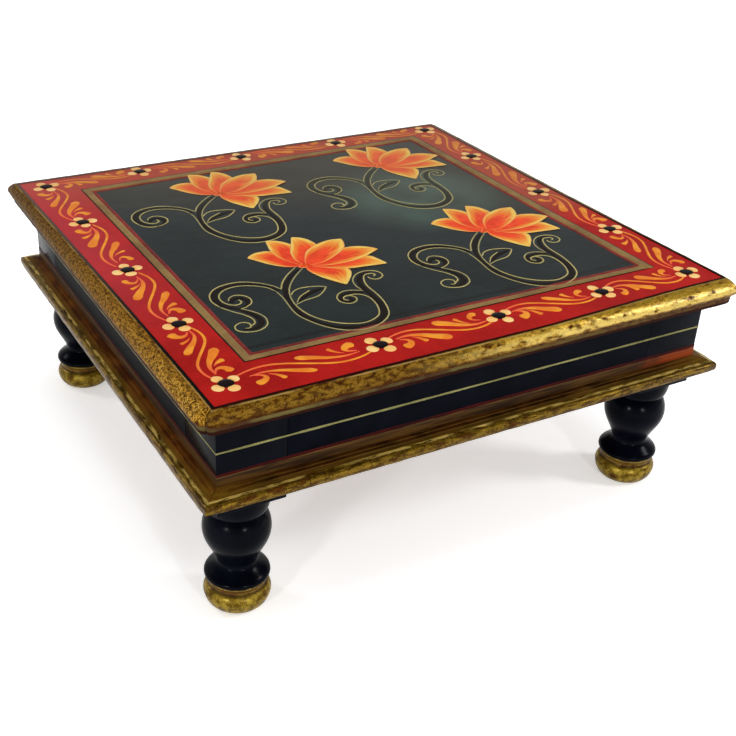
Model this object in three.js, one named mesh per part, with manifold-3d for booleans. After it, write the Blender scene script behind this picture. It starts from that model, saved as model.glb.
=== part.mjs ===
// A painted bajot: a low, nearly square table with a boarded top, a shallow railed frame and
// four turned legs. Lengths are millimetres, +Z is up and +X runs along the front, which faces
// -Y. The origin lies on the floor, under the middle of the table.
import * as THREE from 'three';
import { mergeVertices } from 'three/addons/utils/BufferGeometryUtils.js';
import Module from 'manifold-3d';

// The whole table.
const tableWidth = 400;
const tableDepth = 385.4;
const fitGap = 0.3;
const weldTolerance = 0.001;

// The top: four boards inside a mitred edge moulding that stands a little proud of them.
const boardThickness = 16.5;
const frontBoardWidth = 47;
const topMouldingWidth = 12;
const topMouldingRise = 0.6;
const topOverhang = 16.4;

// The frame: four rails tenoned into the square tops of the legs.
const railHeight = 53.5;
const railThickness = 18;
const postSide = 45;
const postDrop = 12;
const tenonThickness = 8;
const tenonShoulder = 8.75;
const tenonWeb = 8;
const pegRadius = 3;
const pegCover = 3;
const pegStagger = 8;

// The lower moulding that skirts the frame.
const lowerMouldingWidth = 13.4;
const lowerMouldingHeight = 9.5;

// The turning of a leg, from the floor up.
const footHeight = 13.6;
const footRadius = 21.6;
const filletHeight = 2.6;
const filletRadius = 19;
const discHeight = 20.3;
const discRadius = 21.2;
const neckRadius = 14.2;
const bulbHeight = 36;
const bulbRadius = 21.7;
const collarHeight = 13.5;
const collarRadius = 21.8;

// Round nails hold the boards down, and brads hold the mouldings. Both are punched below the
// surface and stopped with filler before the paint, so each one ends inside a blind hole.
const nailLength = 38;
const nailRadius = 1.1;
const nailHeadRadius = 2.2;
const nailHeadHeight = 1;
const nailTipLength = 2.5;
const nailSet = 1.5;
const bradRadius = 0.8;
const bradHeadRadius = 1.1;
const bradHeadHeight = 0.7;
const bradTipLength = 1.6;
const bradCover = 3;
const bradReach = 8;

// Facets round a leg, a peg and a nail, and points along each turned member.
const legFacets = 24;
const pegFacets = 12;
const nailFacets = 8;

// Sizes that follow.
const fieldHalfWidth = tableWidth / 2 - topMouldingWidth;
const fieldHalfDepth = tableDepth / 2 - topMouldingWidth;
const frameHalfWidth = tableWidth / 2 - topOverhang;
const frameHalfDepth = tableDepth / 2 - topOverhang;
const turnedHeight = footHeight + filletHeight + discHeight + bulbHeight + collarHeight;
const railBottom = turnedHeight + postDrop;
const railTop = railBottom + railHeight;
const fieldTop = railTop + boardThickness;
const tenonLength = postSide - (railThickness + tenonThickness) / 2 - tenonWeb;
const tenonMiddle = railBottom + railHeight / 2;
const pegLength = postSide - pegCover;
const nailTop = fieldTop - nailSet;

// The four sides, each a quarter turn on from the one before. A side is drawn as the front is:
// "along" runs to the viewer's right and "out" points at the viewer.
const sides = [
  { name: 'front', quarter: 0, frameAlong: frameHalfWidth, frameOut: frameHalfDepth,
    fieldAlong: fieldHalfWidth, fieldOut: fieldHalfDepth },
  { name: 'right', quarter: 1, frameAlong: frameHalfDepth, frameOut: frameHalfWidth,
    fieldAlong: fieldHalfDepth, fieldOut: fieldHalfWidth },
  { name: 'back', quarter: 2, frameAlong: frameHalfWidth, frameOut: frameHalfDepth,
    fieldAlong: fieldHalfWidth, fieldOut: fieldHalfDepth },
  { name: 'left', quarter: 3, frameAlong: frameHalfDepth, frameOut: frameHalfWidth,
    fieldAlong: fieldHalfDepth, fieldOut: fieldHalfWidth },
];
const ends = [
  { name: 'start', sign: -1 },
  { name: 'finish', sign: 1 },
];

const fieldPaint = new THREE.MeshStandardMaterial({ color: 0x2c3637, roughness: 0.35, metalness: 0 });
const gilding = new THREE.MeshStandardMaterial({ color: 0xb08428, roughness: 0.4, metalness: 0.7 });
const navyPaint = new THREE.MeshStandardMaterial({ color: 0x0c1020, roughness: 0.3, metalness: 0 });
const bareWood = new THREE.MeshStandardMaterial({ color: 0x9a6f42, roughness: 0.75, metalness: 0 });
const wireSteel = new THREE.MeshStandardMaterial({ color: 0x8c8c8c, roughness: 0.45, metalness: 0.9 });

const wasm = await Module();
wasm.setup();

// A closed geometry as a solid that can be joined and cut.
function solidOf(geometry) {
  const plain = geometry.clone();
  plain.deleteAttribute('normal');
  plain.deleteAttribute('uv');
  const merged = mergeVertices(plain, weldTolerance);
  const corners = merged.index.array;
  const kept = [];
  for (let i = 0; i < corners.length; i += 3) {
    const [a, b, c] = corners.slice(i, i + 3);
    if (a !== b && b !== c && c !== a) kept.push(a, b, c);
  }
  return new wasm.Manifold(new wasm.Mesh({
    numProp: 3,
    vertProperties: merged.getAttribute('position').array,
    triVerts: new Uint32Array(kept),
  }));
}

function geometryOf(solid) {
  const mesh = solid.getMesh();
  const geometry = new THREE.BufferGeometry();
  geometry.setAttribute('position', new THREE.BufferAttribute(mesh.vertProperties, 3));
  geometry.setIndex(new THREE.BufferAttribute(mesh.triVerts, 1));
  geometry.computeVertexNormals();
  return geometry;
}

// The base geometry with every addition joined on and every hole cut out.
function carve(base, additions, holes) {
  let solid = solidOf(base);
  for (const addition of additions) solid = solid.add(solidOf(addition));
  for (const hole of holes) solid = solid.subtract(solidOf(hole));
  return geometryOf(solid);
}

// A block whose faces lie exactly on the planes given by two opposite corners.
function block(low, high) {
  const geometry = new THREE.BoxGeometry(1, 1, 1);
  const position = geometry.getAttribute('position');
  for (let i = 0; i < position.count; i += 1) {
    position.setXYZ(
      i,
      position.getX(i) < 0 ? low[0] : high[0],
      position.getY(i) < 0 ? low[1] : high[1],
      position.getZ(i) < 0 ? low[2] : high[2],
    );
  }
  return geometry;
}

// A round rod, either upright from its bottom to its top or level between two places along Y.
function uprightRod(radius, x, y, bottom, top, facets) {
  return new THREE.CylinderGeometry(radius, radius, top - bottom, facets)
    .rotateX(Math.PI / 2)
    .translate(x, y, (bottom + top) / 2);
}

function levelRod(radius, x, yFrom, yTo, z, facets) {
  return new THREE.CylinderGeometry(radius, radius, Math.abs(yTo - yFrom), facets)
    .translate(x, (yFrom + yTo) / 2, z);
}

// A point of a side, given along and out, in the table's own X and Y.
function tablePoint(side, along, out) {
  const turned = [[along, -out], [out, along], [-along, out], [-out, -along]];
  return turned[side.quarter];
}

function named(name, geometry, material) {
  const mesh = new THREE.Mesh(geometry, material);
  mesh.name = name;
  return mesh;
}

// Nails and brads are turned about their own axis, point down, with the head's top at zero.
function nailGeometry(length, radius, headRadius, headHeight, tipLength) {
  const outline = [
    new THREE.Vector2(0, -length),
    new THREE.Vector2(radius, -length + tipLength),
    new THREE.Vector2(radius, -headHeight),
    new THREE.Vector2(headRadius, -headHeight),
    new THREE.Vector2(headRadius, 0),
    new THREE.Vector2(0, 0),
  ];
  return new THREE.LatheGeometry(outline, nailFacets).rotateX(Math.PI / 2);
}

// Where the brads of each side run. Each moulding has two, level and square to its side.
const topBradShare = 0.55;
const lowerBradShare = 0.62;
const lowerBradLevelShare = 0.32;
const topBradLevel = railTop + boardThickness / 2;
const lowerBradLevel = railBottom + lowerMouldingHeight * lowerBradLevelShare;

function topBrads(side) {
  return ends.map((end) => ({
    name: `${side.name}_top_brad_${end.name}`,
    along: end.sign * side.fieldAlong * topBradShare,
    head: side.fieldOut + topMouldingWidth - bradCover,
    tip: side.fieldOut - bradReach,
    level: topBradLevel,
  }));
}

function lowerBrads(side) {
  return ends.map((end) => ({
    name: `${side.name}_lower_brad_${end.name}`,
    along: end.sign * railHalfLength(side) * lowerBradShare,
    head: side.frameOut + lowerMouldingWidth - bradCover,
    tip: side.frameOut - bradReach,
    level: lowerBradLevel,
  }));
}

// The hole that a brad needs, drawn on the front side.
function bradHole(brad) {
  return levelRod(bradHeadRadius + fitGap, brad.along, -brad.tip + fitGap, -brad.head - fitGap,
    brad.level, nailFacets);
}

// The same hole where the brad enters the boards, in the table's own X and Y.
function bradHoleInBoards(side, brad) {
  return bradHole(brad).rotateZ(side.quarter * Math.PI / 2);
}

function railHalfLength(side) {
  return side.frameAlong - fitGap - postSide - fitGap;
}

// The boards run along X. The seam behind the front board shows faintly through the paint.
const boardNames = ['front_board', 'front_middle_board', 'back_middle_board', 'back_board'];
const otherBoardWidth = (2 * fieldHalfDepth - frontBoardWidth) / (boardNames.length - 1);
const seams = [-fieldHalfDepth, ...boardNames.slice(1).map(
  (name, i) => -fieldHalfDepth + frontBoardWidth + i * otherBoardWidth,
), fieldHalfDepth];
const boards = boardNames.map((name, i) => ({ name, low: seams[i], high: seams[i + 1] }));
const middleBoards = boards.slice(1, -1);

// Nails go down through the boards: one into each leg's axis, two into the front and the back
// rail, and one from each middle board into the left and the right rail.
const railNailShare = 0.45;
const legX = frameHalfWidth - fitGap - postSide / 2;
const legY = frameHalfDepth - fitGap - postSide / 2;
const corners = [
  { name: 'front_left', quarter: 0, x: -legX, y: -legY },
  { name: 'front_right', quarter: 1, x: legX, y: -legY },
  { name: 'back_right', quarter: 2, x: legX, y: legY },
  { name: 'back_left', quarter: 3, x: -legX, y: legY },
];

function railNails(side) {
  const middles = middleBoards.map((board) => (board.low + board.high) / 2);
  const turnedMiddles = side.name === 'left' ? middles.map((y) => -y) : middles;
  const onAxis = side.quarter % 2 === 0;
  const places = onAxis
    ? ends.map((end) => end.sign * railHalfLength(side) * railNailShare)
    : turnedMiddles;
  return places.map((along, i) => ({
    name: `${side.name}_rail_nail_${i + 1}`,
    along,
    out: side.frameOut - railThickness / 2,
  }));
}

function nailHole(x, y) {
  return uprightRod(nailHeadRadius + fitGap, x, y, nailTop - nailLength - fitGap,
    nailTop + fitGap, nailFacets);
}

function makeBoards() {
  const group = new THREE.Group();
  const holes = corners.map((corner) => nailHole(corner.x, corner.y));
  for (const side of sides) {
    for (const nail of railNails(side)) holes.push(nailHole(...tablePoint(side, nail.along, nail.out)));
    for (const brad of topBrads(side)) holes.push(bradHoleInBoards(side, brad));
  }
  for (const board of boards) {
    const body = block(
      [-fieldHalfWidth, board.low, railTop],
      [fieldHalfWidth, board.high, fieldTop],
    );
    group.add(named(board.name, carve(body, [], holes), fieldPaint));
  }
  return group;
}

// A moulding is an outline, drawn outwards and upwards from its inner bottom edge, run along
// the side from mitre to mitre. A corner lists how far along and how far out its sections lean,
// from the mitre to the straight run. The lower moulding meets in sharp corners. The top one is
// rounded at its corners, as if turned about the corner of the boards.
const mitreTrim = fitGap / Math.SQRT2;
const mitreAngle = Math.PI / 4;
const sharpCorner = [[1, 1]];
const roundedCornerSteps = 4;
const roundedCorner = Array.from({ length: roundedCornerSteps + 1 }, (unused, step) => {
  const angle = mitreAngle * (1 - step / roundedCornerSteps);
  return [Math.sin(angle), Math.cos(angle)];
});

function moulding(outline, corner, innerAlong, innerOut, bottom, brads) {
  const sections = [
    ...corner.map(([along, out]) => ({ end: 1, along, out })),
    ...corner.map(([along, out]) => ({ end: -1, along, out })).reverse(),
  ];
  const steps = sections.length - 1;
  const run = new THREE.ExtrudeGeometry(new THREE.Shape(outline), {
    depth: steps, steps, bevelEnabled: false,
  });
  const position = run.getAttribute('position');
  for (let i = 0; i < position.count; i += 1) {
    const outwards = position.getX(i);
    const section = sections[Math.round(position.getZ(i))];
    position.setXYZ(
      i,
      section.end * (innerAlong - mitreTrim + section.along * outwards),
      -(innerOut + section.out * outwards),
      bottom + position.getY(i),
    );
  }
  return carve(run, [], brads.map(bradHole));
}

// The top moulding has a flat inner margin, a long rounded slope to a nose and a set-back
// fillet under it.
const topFilletShares = [0.7, 0.19];
const topNoseShares = [
  [0.8, 0.23], [0.93, 0.265], [1, 0.37], [0.92, 0.497], [0.68, 0.725], [0.5, 0.868], [0.27, 1],
];
const topNosePoints = 11;
const topMouldingHeight = boardThickness + topMouldingRise;

function sharePoint(shares, width, height) {
  return new THREE.Vector2(shares[0] * width, shares[1] * height);
}

function smooth(shares, width, height, count) {
  return new THREE.SplineCurve(shares.map((pair) => sharePoint(pair, width, height))).getPoints(count);
}

function topMouldingOutline() {
  const [filletOut, filletUp] = topFilletShares;
  return [
    new THREE.Vector2(0, 0),
    sharePoint([filletOut, 0], topMouldingWidth, topMouldingHeight),
    sharePoint([filletOut, filletUp], topMouldingWidth, topMouldingHeight),
    ...smooth(topNoseShares, topMouldingWidth, topMouldingHeight, topNosePoints),
    new THREE.Vector2(0, topMouldingHeight),
  ];
}

// The lower moulding has a sloping ledge that ends in a rounded nose.
const ledgeEndShares = [0.63, 0.78];
const lowerNoseShares = [[0.9, 0], [0.965, 0.06], [1, 0.32], [0.978, 0.56], [0.88, 0.69], [0.72, 0.755]];
const lowerNosePoints = 9;

function lowerMouldingOutline() {
  return [
    new THREE.Vector2(0, 0),
    ...smooth(lowerNoseShares, lowerMouldingWidth, lowerMouldingHeight, lowerNosePoints),
    sharePoint(ledgeEndShares, lowerMouldingWidth, lowerMouldingHeight),
    new THREE.Vector2(0, lowerMouldingHeight),
  ];
}

// Pegs lock the tenons. They are driven from the inner faces of the posts and stop short of
// the outer ones. The two pegs of a corner pass at different heights.
function pegLevel(end) {
  return tenonMiddle + end.sign * pegStagger;
}

function tenonBlock(side, end) {
  const shoulder = railHalfLength(side);
  const reach = shoulder + tenonLength;
  const middle = side.frameOut - railThickness / 2;
  return block(
    [Math.min(end.sign * shoulder, end.sign * reach), -middle - tenonThickness / 2,
      railBottom + tenonShoulder],
    [Math.max(end.sign * shoulder, end.sign * reach), -middle + tenonThickness / 2,
      railTop - tenonShoulder],
  );
}

function pegAlong(side, end) {
  return end.sign * (railHalfLength(side) + tenonLength / 2);
}

function makeRail(side) {
  const half = railHalfLength(side);
  const body = block(
    [-half, -side.frameOut, railBottom],
    [half, -side.frameOut + railThickness, railTop],
  );
  const tenons = ends.map((end) => tenonBlock(side, end));
  const holes = [
    ...ends.map((end) => levelRod(pegRadius + fitGap, pegAlong(side, end), -side.frameOut,
      -side.frameOut + railThickness, pegLevel(end), pegFacets)),
    ...railNails(side).map((nail) => nailHole(nail.along, -nail.out)),
    ...lowerBrads(side).map(bradHole),
  ];
  return named(`${side.name}_rail`, carve(body, tenons, holes), navyPaint);
}

function makePeg(side, end) {
  const peg = named(
    `${side.name}_peg_${end.name}`,
    new THREE.CylinderGeometry(pegRadius, pegRadius, pegLength, pegFacets),
    bareWood,
  );
  const innerFace = side.frameOut - fitGap - postSide;
  peg.position.set(pegAlong(side, end), -(innerFace + pegLength / 2), pegLevel(end));
  return peg;
}

function makeBrad(brad) {
  const mesh = named(
    brad.name,
    nailGeometry(brad.head - brad.tip, bradRadius, bradHeadRadius, bradHeadHeight, bradTipLength),
    wireSteel,
  );
  mesh.rotation.x = Math.PI / 2;
  mesh.position.set(brad.along, -brad.head, brad.level);
  return mesh;
}

// A whole side of the table: its rail, mouldings, pegs and brads.
function makeSide(side) {
  const group = new THREE.Group();
  const top = moulding(topMouldingOutline(), roundedCorner, side.fieldAlong, side.fieldOut,
    railTop, topBrads(side));
  const lower = moulding(lowerMouldingOutline(), sharpCorner, side.frameAlong, side.frameOut,
    railBottom, lowerBrads(side));
  group.add(named(`${side.name}_top_moulding`, top, gilding));
  group.add(named(`${side.name}_lower_moulding`, lower, gilding));
  group.add(makeRail(side));
  for (const end of ends) group.add(makePeg(side, end));
  for (const brad of [...topBrads(side), ...lowerBrads(side)]) group.add(makeBrad(brad));
  group.rotation.z = side.quarter * Math.PI / 2;
  return group;
}

// A leg is turned from one square post. Each member of the turning is a smooth line through
// shares of its own radius and height, and the foot is cut flat where it stands.
const footShares = [[0.7, 0], [0.81, 0.07], [0.93, 0.3], [1, 0.66], [0.97, 0.86], [0.86, 1]];
const filletShares = [[0.97, 0.1], [1, 0.5], [0.98, 1]];
const discShares = [[0.9, 0.02], [0.98, 0.14], [1, 0.38], [0.934, 0.63], [0.788, 0.85]];
const bulbShares = [[0.774, 0.14], [0.885, 0.28], [0.959, 0.46], [1, 0.65], [0.977, 0.84], [0.91, 0.99]];
const collarShares = [[0.915, 0.02], [0.96, 0.12], [1, 0.4], [1, 1]];
const memberPoints = 6;

function member(shares, radius, height, bottom) {
  return smooth(shares, radius, height, memberPoints)
    .map((point) => new THREE.Vector2(point.x, bottom + point.y));
}

function legOutline() {
  const neckLevel = footHeight + filletHeight + discHeight;
  return [
    new THREE.Vector2(0, 0),
    ...member(footShares, footRadius, footHeight, 0),
    ...member(filletShares, filletRadius, filletHeight, footHeight),
    ...member(discShares, discRadius, discHeight, footHeight + filletHeight),
    new THREE.Vector2(neckRadius, neckLevel),
    ...member(bulbShares, bulbRadius, bulbHeight, neckLevel),
    ...member(collarShares, collarRadius, collarHeight, neckLevel + bulbHeight),
    new THREE.Vector2(0, turnedHeight),
  ];
}

// The post's mortises and peg holes, for the front left leg. The front rail's start enters its
// right face and the left rail's finish enters its back face.
function postHoles() {
  const half = postSide / 2;
  const cheek = half + fitGap - railThickness / 2;
  const wide = tenonThickness / 2 + fitGap;
  const deep = half - tenonLength - fitGap;
  const low = railBottom + tenonShoulder - fitGap;
  const high = railTop - tenonShoulder + fitGap;
  const pegOffset = half + fitGap - tenonLength / 2;
  const pegDepth = half - pegLength - fitGap;
  const mouth = half + fitGap;
  const [start, finish] = ends;
  return [
    block([deep, -cheek - wide, low], [mouth, -cheek + wide, high]),
    block([-cheek - wide, deep, low], [-cheek + wide, mouth, high]),
    levelRod(pegRadius + fitGap, pegOffset, pegDepth, mouth, pegLevel(start), pegFacets),
    levelRod(pegRadius + fitGap, -pegOffset, pegDepth, mouth, pegLevel(finish), pegFacets)
      .rotateZ(-Math.PI / 2),
    nailHole(0, 0),
  ];
}

function legGeometry() {
  const half = postSide / 2;
  const turning = new THREE.LatheGeometry(legOutline(), legFacets).rotateX(Math.PI / 2);
  const post = block([-half, -half, turnedHeight], [half, half, railTop]);
  return carve(post, [turning], postHoles());
}

function makeLegs() {
  const group = new THREE.Group();
  const geometry = legGeometry();
  for (const corner of corners) {
    const leg = named(`${corner.name}_leg`, geometry, navyPaint);
    leg.position.set(corner.x, corner.y, 0);
    leg.rotation.z = corner.quarter * Math.PI / 2;
    group.add(leg);
  }
  return group;
}

function makeNails() {
  const group = new THREE.Group();
  const geometry = nailGeometry(nailLength, nailRadius, nailHeadRadius, nailHeadHeight, nailTipLength);
  const places = corners.map((corner) => ({ name: `${corner.name}_leg_nail`, x: corner.x, y: corner.y }));
  for (const side of sides) {
    for (const nail of railNails(side)) {
      const [x, y] = tablePoint(side, nail.along, nail.out);
      places.push({ name: nail.name, x, y });
    }
  }
  for (const place of places) {
    const nail = named(place.name, geometry, wireSteel);
    nail.position.set(place.x, place.y, nailTop);
    group.add(nail);
  }
  return group;
}

const bajot = new THREE.Group();
bajot.add(makeBoards());
for (const side of sides) bajot.add(makeSide(side));
bajot.add(makeLegs());
bajot.add(makeNails());

export default bajot;
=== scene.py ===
# %% [markdown]
# # A painted bajot, dressed in Blender
#
# A bajot is a low table for people who sit on the floor. This one has a boarded top with painted
# lotus sprays, a red border with flowers, gilt mouldings and glossy turned legs. Its construction
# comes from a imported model, and this notebook adds the turned, moulded, gilded and painted surfaces.

# %% Load the construction
import math
import random

import bmesh
import bpy
from mathutils import Matrix, Vector, noise


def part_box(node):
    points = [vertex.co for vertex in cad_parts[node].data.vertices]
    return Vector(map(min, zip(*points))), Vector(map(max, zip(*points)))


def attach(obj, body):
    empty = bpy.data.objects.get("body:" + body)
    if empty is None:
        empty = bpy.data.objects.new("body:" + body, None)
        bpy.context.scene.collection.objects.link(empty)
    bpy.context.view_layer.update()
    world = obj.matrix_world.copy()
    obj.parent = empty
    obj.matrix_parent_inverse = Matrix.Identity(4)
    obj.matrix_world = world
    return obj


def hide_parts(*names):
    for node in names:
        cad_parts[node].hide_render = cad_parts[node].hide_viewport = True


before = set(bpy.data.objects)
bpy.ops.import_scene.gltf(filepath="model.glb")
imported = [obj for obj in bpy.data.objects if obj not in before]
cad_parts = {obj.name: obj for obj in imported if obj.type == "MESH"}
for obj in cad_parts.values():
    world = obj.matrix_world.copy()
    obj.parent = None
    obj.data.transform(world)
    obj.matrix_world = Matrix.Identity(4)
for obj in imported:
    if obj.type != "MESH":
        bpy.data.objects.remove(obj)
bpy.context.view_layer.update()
MM = 0.001
print("nodes:", len(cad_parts))

# %% [markdown]
# ## Sizes that come from the construction
#
# Everything that is painted follows the boards and the rails, so their edges are read here once.
# A place on the top is given as two shares of the boarded field: across, from left to right, and
# deep, from front to back.

# %% The field, the frame and the mouldings
field_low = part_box("front_board")[0]
field_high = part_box("back_board")[1]
frame_low = Vector((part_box("left_rail")[0].x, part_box("front_rail")[0].y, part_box("front_rail")[0].z))
frame_high = Vector((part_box("right_rail")[1].x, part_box("back_rail")[1].y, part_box("front_rail")[1].z))
top_low, top_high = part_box("front_top_moulding")
lower_low, lower_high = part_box("front_lower_moulding")
FIELD_TOP = field_high.z
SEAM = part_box("front_board")[1].y
SIDES = ("front", "right", "back", "left")
CORNERS = ("front_left", "front_right", "back_right", "back_left")


def on_top(across, deep, level=FIELD_TOP):
    """The point of the top at these shares of the field."""
    return Vector((
        field_low.x + across * (field_high.x - field_low.x),
        field_low.y + deep * (field_high.y - field_low.y),
        level,
    ))


print("field, mm:", [round(side / MM, 1) for side in field_high - field_low])

# %% [markdown]
# ## Shader sums that read like sums
#
# A painted surface is a stack of masks: where the brush ran dry, where gold has rubbed away. Each
# mask is arithmetic on noise and on position. A small class wraps a socket and gives it the usual
# operators, so that `1 - mask` adds the Math node by itself.


# %% A socket with operators
class Wire:
    """An output socket of a finish, usable in sums as a number is."""

    def __init__(self, finish, socket):
        self.finish = finish
        self.socket = socket

    def maths(self, operation, *terms):
        return self.finish.node("ShaderNodeMath", {"operation": operation}, dict(enumerate(terms)))

    def __add__(self, other):
        return self.maths("ADD", self, other)

    def __sub__(self, other):
        return self.maths("SUBTRACT", self, other)

    def __rsub__(self, other):
        return self.maths("SUBTRACT", other, self)

    def __mul__(self, other):
        return self.maths("MULTIPLY", self, other)

    def __abs__(self):
        return self.maths("ABSOLUTE", self)

    __radd__ = __add__
    __rmul__ = __mul__

    def larger(self, other):
        return self.maths("MAXIMUM", self, other)

    def fade(self, start, end):
        """0 before start and 1 after end, smooth between them."""
        return self.finish.node(
            "ShaderNodeMapRange",
            {"interpolation_type": "SMOOTHSTEP"},
            {"Value": self, "From Min": start, "From Max": end},
        )

    def between(self, low, high, soft):
        """1 between low and high, with soft edges of the given width."""
        return self.fade(low - soft, low) * (1 - self.fade(high, high + soft))


# %% [markdown]
# ## One way to make every node
#
# A finish owns a material. Its node method takes the node's type, then its settings, then the
# values or wires of its sockets. Everything else here is built from that one method. Patterns use
# Object coordinates, which are the table's own metres, so a scale is one over a real size. In the
# finishes below, fade gives the two values between which a mask turns on, a factor after a mask is
# the share of the tone that it lets through, and coated lays such tones over one another.


# %% A finish and its nodes
def screen(red, green, blue):
    """A colour read off a screen, 0 to 255, as the linear values that shaders use."""
    parts = [part / 255 for part in (red, green, blue)]
    return (*[p / 12.92 if p <= 0.04045 else ((p + 0.055) / 1.055) ** 2.4 for p in parts], 1)


class NodeBench:
    """A node tree whose nodes are all made by node()."""

    def __init__(self, tree):
        self.tree = tree

    def node(self, kind, settings=None, values=None, output=0):
        made = self.tree.nodes.new(kind)
        for key, setting in (settings or {}).items():
            setattr(made, key, setting)
        for key, value in (values or {}).items():
            self.feed(made.inputs[key], value)
        return Wire(self, made.outputs[output])

    def feed(self, socket, value):
        if isinstance(value, Wire):
            self.tree.links.new(value.socket, socket)
        else:
            socket.default_value = value


class Finish(NodeBench):
    """A material. Its steady values are set on the shader's own sockets."""

    def __init__(self, name, **steady):
        self.material = bpy.data.materials.new(name)
        self.material.use_nodes = True
        super().__init__(self.material.node_tree)
        self.shader = self.tree.nodes["Principled BSDF"]
        for socket, value in steady.items():
            self.shader.inputs[socket.replace("_", " ")].default_value = value

    def place(self, stretch=(1, 1, 1)):
        where = self.node("ShaderNodeTexCoord", output="Object")
        return self.node("ShaderNodeMapping", values={"Vector": where, "Scale": stretch})

    def axis(self, letter):
        where = self.node("ShaderNodeTexCoord", output="Object")
        return self.node("ShaderNodeSeparateXYZ", values={"Vector": where}, output=letter)

    def along(self):
        """How far along its stroke or petal a point is, from 0 to 1, from the piece's UV map."""
        where = self.node("ShaderNodeTexCoord", output="UV")
        return self.node("ShaderNodeSeparateXYZ", values={"Vector": where}, output="X")

    def clouds(self, size, detail=3, stretch=(1, 1, 1)):
        return self.node(
            "ShaderNodeTexNoise",
            values={"Vector": self.place(stretch), "Scale": 1 / size, "Detail": detail},
            output="Fac",
        )

    def mix(self, factor, first, second):
        return self.node(
            "ShaderNodeMix", {"data_type": "RGBA"}, {0: factor, 6: first, 7: second}, output=2
        )

    def coated(self, ground, *coats):
        """The ground under coats of colour, each given as its mask and its tone."""
        for mask, tone in coats:
            ground = self.mix(mask, ground, tone)
        return ground

    def bump(self, height, depth):
        return self.node("ShaderNodeBump", values={"Height": height, "Distance": depth})

    def surface(self, **wires):
        for socket, value in wires.items():
            self.feed(self.shader.inputs[socket.replace("_", " ")], value)
        return self.material


# %% [markdown]
# ## Bare wood
#
# The underside was never painted. Its grain runs along the boards, so the noise is squeezed across
# them and drawn out along X. Other finishes reuse the same colour where their paint stops.


# %% Bare wood
GRAIN_STRETCH = (0.06, 1, 1)


def grain_colour(finish):
    grain = finish.clouds(4 * MM, 5, GRAIN_STRETCH)
    streak = finish.clouds(1.1 * MM, 3, GRAIN_STRETCH)
    pale = finish.mix(grain.fade(0.35, 0.65), screen(168, 126, 82), screen(128, 88, 52))
    return finish.mix(streak.fade(0.55, 0.75) * 0.5, pale, screen(92, 62, 38))


def repaint(name, material):
    """Gives a node of the construction this finish in place of its plain colour."""
    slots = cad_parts[name].data.materials
    slots.clear()
    slots.append(material)


def bare_wood():
    wood = Finish("bare wood", Specular_IOR_Level=0.3)
    ridge = wood.clouds(1.1 * MM, 3, GRAIN_STRETCH)
    return wood.surface(
        Base_Color=grain_colour(wood),
        Roughness=0.62 + 0.2 * ridge,
        Normal=wood.bump(ridge, 0.15 * MM),
    )


# %% [markdown]
# ## The dark field
#
# The field is a green-grey paint under soft varnish: faint clouds where it was rubbed on, a few
# specks of dust, and a hairline where the first board meets the second. Over these lie a painted
# sheen, paler towards the back and right, and a pool of painted reflection right of the middle.


# %% Field paint
def far_sheen(finish):
    """0 towards the front and left of the top, 1 towards its back and right, where a painted sheen makes
    it paler.
    """
    cloud = finish.clouds(60 * MM, 3) - 0.5
    return (finish.axis("X") + finish.axis("Y") * 2 + cloud * 120 * MM).fade(0, 220 * MM)


# Where a pool of painted reflection lies on the top, and how far it reaches.
SHEEN_PLACE = on_top(0.715, 0.59)
SHEEN_REACH = 78 * MM
HAIRLINE_HALF, HAIRLINE_SOFT, HAIRLINE_WAVER = 0.8 * MM, 2.1 * MM, 1.2 * MM
BOARDS = ("front_board", "front_middle_board", "back_middle_board", "back_board")


def rosy(finish):
    """1 on the left of the top towards its back, where the red is pinker."""
    return (1 - finish.axis("X").fade(-190 * MM, -120 * MM)) * finish.axis("Y").fade(-150 * MM, 40 * MM)


def veiled(finish, tone, veils):
    """The tone under veils. Each is where it lies, how thick it is and its colour."""
    return finish.coated(tone, *[(where(finish) * amount, colour) for where, amount, colour in veils])


def field_paint():
    paint = Finish("field paint", Specular_IOR_Level=0.16)
    cloud = paint.clouds(50 * MM, 4)
    streak = paint.clouds(3 * MM, 4, (0.08, 1, 1))
    speck = paint.clouds(0.9 * MM, 1).fade(0.70, 0.76)
    # The pool of painted reflection: a lighter, greener patch right of the middle of the top.
    across, deep = paint.axis("X") - SHEEN_PLACE.x, paint.axis("Y") - SHEEN_PLACE.y
    lightened = 1 - (across * across + deep * deep).fade(0, SHEEN_REACH ** 2)
    from_seam = abs(paint.axis("Y") - SEAM + (paint.clouds(14 * MM, 2) - 0.5) * HAIRLINE_WAVER)
    open_part = 0.75 + paint.clouds(30 * MM, 2, (1, 0, 0)).fade(0.42, 0.58) * 0.25
    hairline = (1 - from_seam.fade(HAIRLINE_HALF, HAIRLINE_SOFT)) * open_part
    ground = paint.coated(
        paint.mix(cloud.fade(0.35, 0.65), screen(13, 23, 22), screen(22, 33, 33)),
        (streak.fade(0.5, 0.75) * 0.35, screen(38, 44, 38)),
        # a painted sheen, paler towards the back and right
        (far_sheen(paint) * 0.45, screen(74, 65, 46)),
        # the pool of painted reflection
        (lightened * cloud.fade(0.12, 0.66) * 0.56, screen(82, 108, 96)),
        (speck * 0.6, screen(76, 80, 70)),
        (hairline * 0.9, screen(8, 7, 7)),
    )
    painted = paint.axis("Z").fade(frame_high.z + 0.5 * MM, frame_high.z + 1 * MM)
    relief = paint.clouds(18 * MM, 3) * 1.6 + streak * 0.25
    return paint.surface(
        Base_Color=paint.mix(painted, grain_colour(paint), ground),
        Roughness=paint.clouds(25 * MM, 3) * 0.16 + 0.26 + (1 - painted) * 0.3,
        Normal=paint.bump(relief, 0.1 * MM),
    )


boards_paint = field_paint()
for board in BOARDS:
    repaint(board, boards_paint)
print("boards painted")

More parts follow.
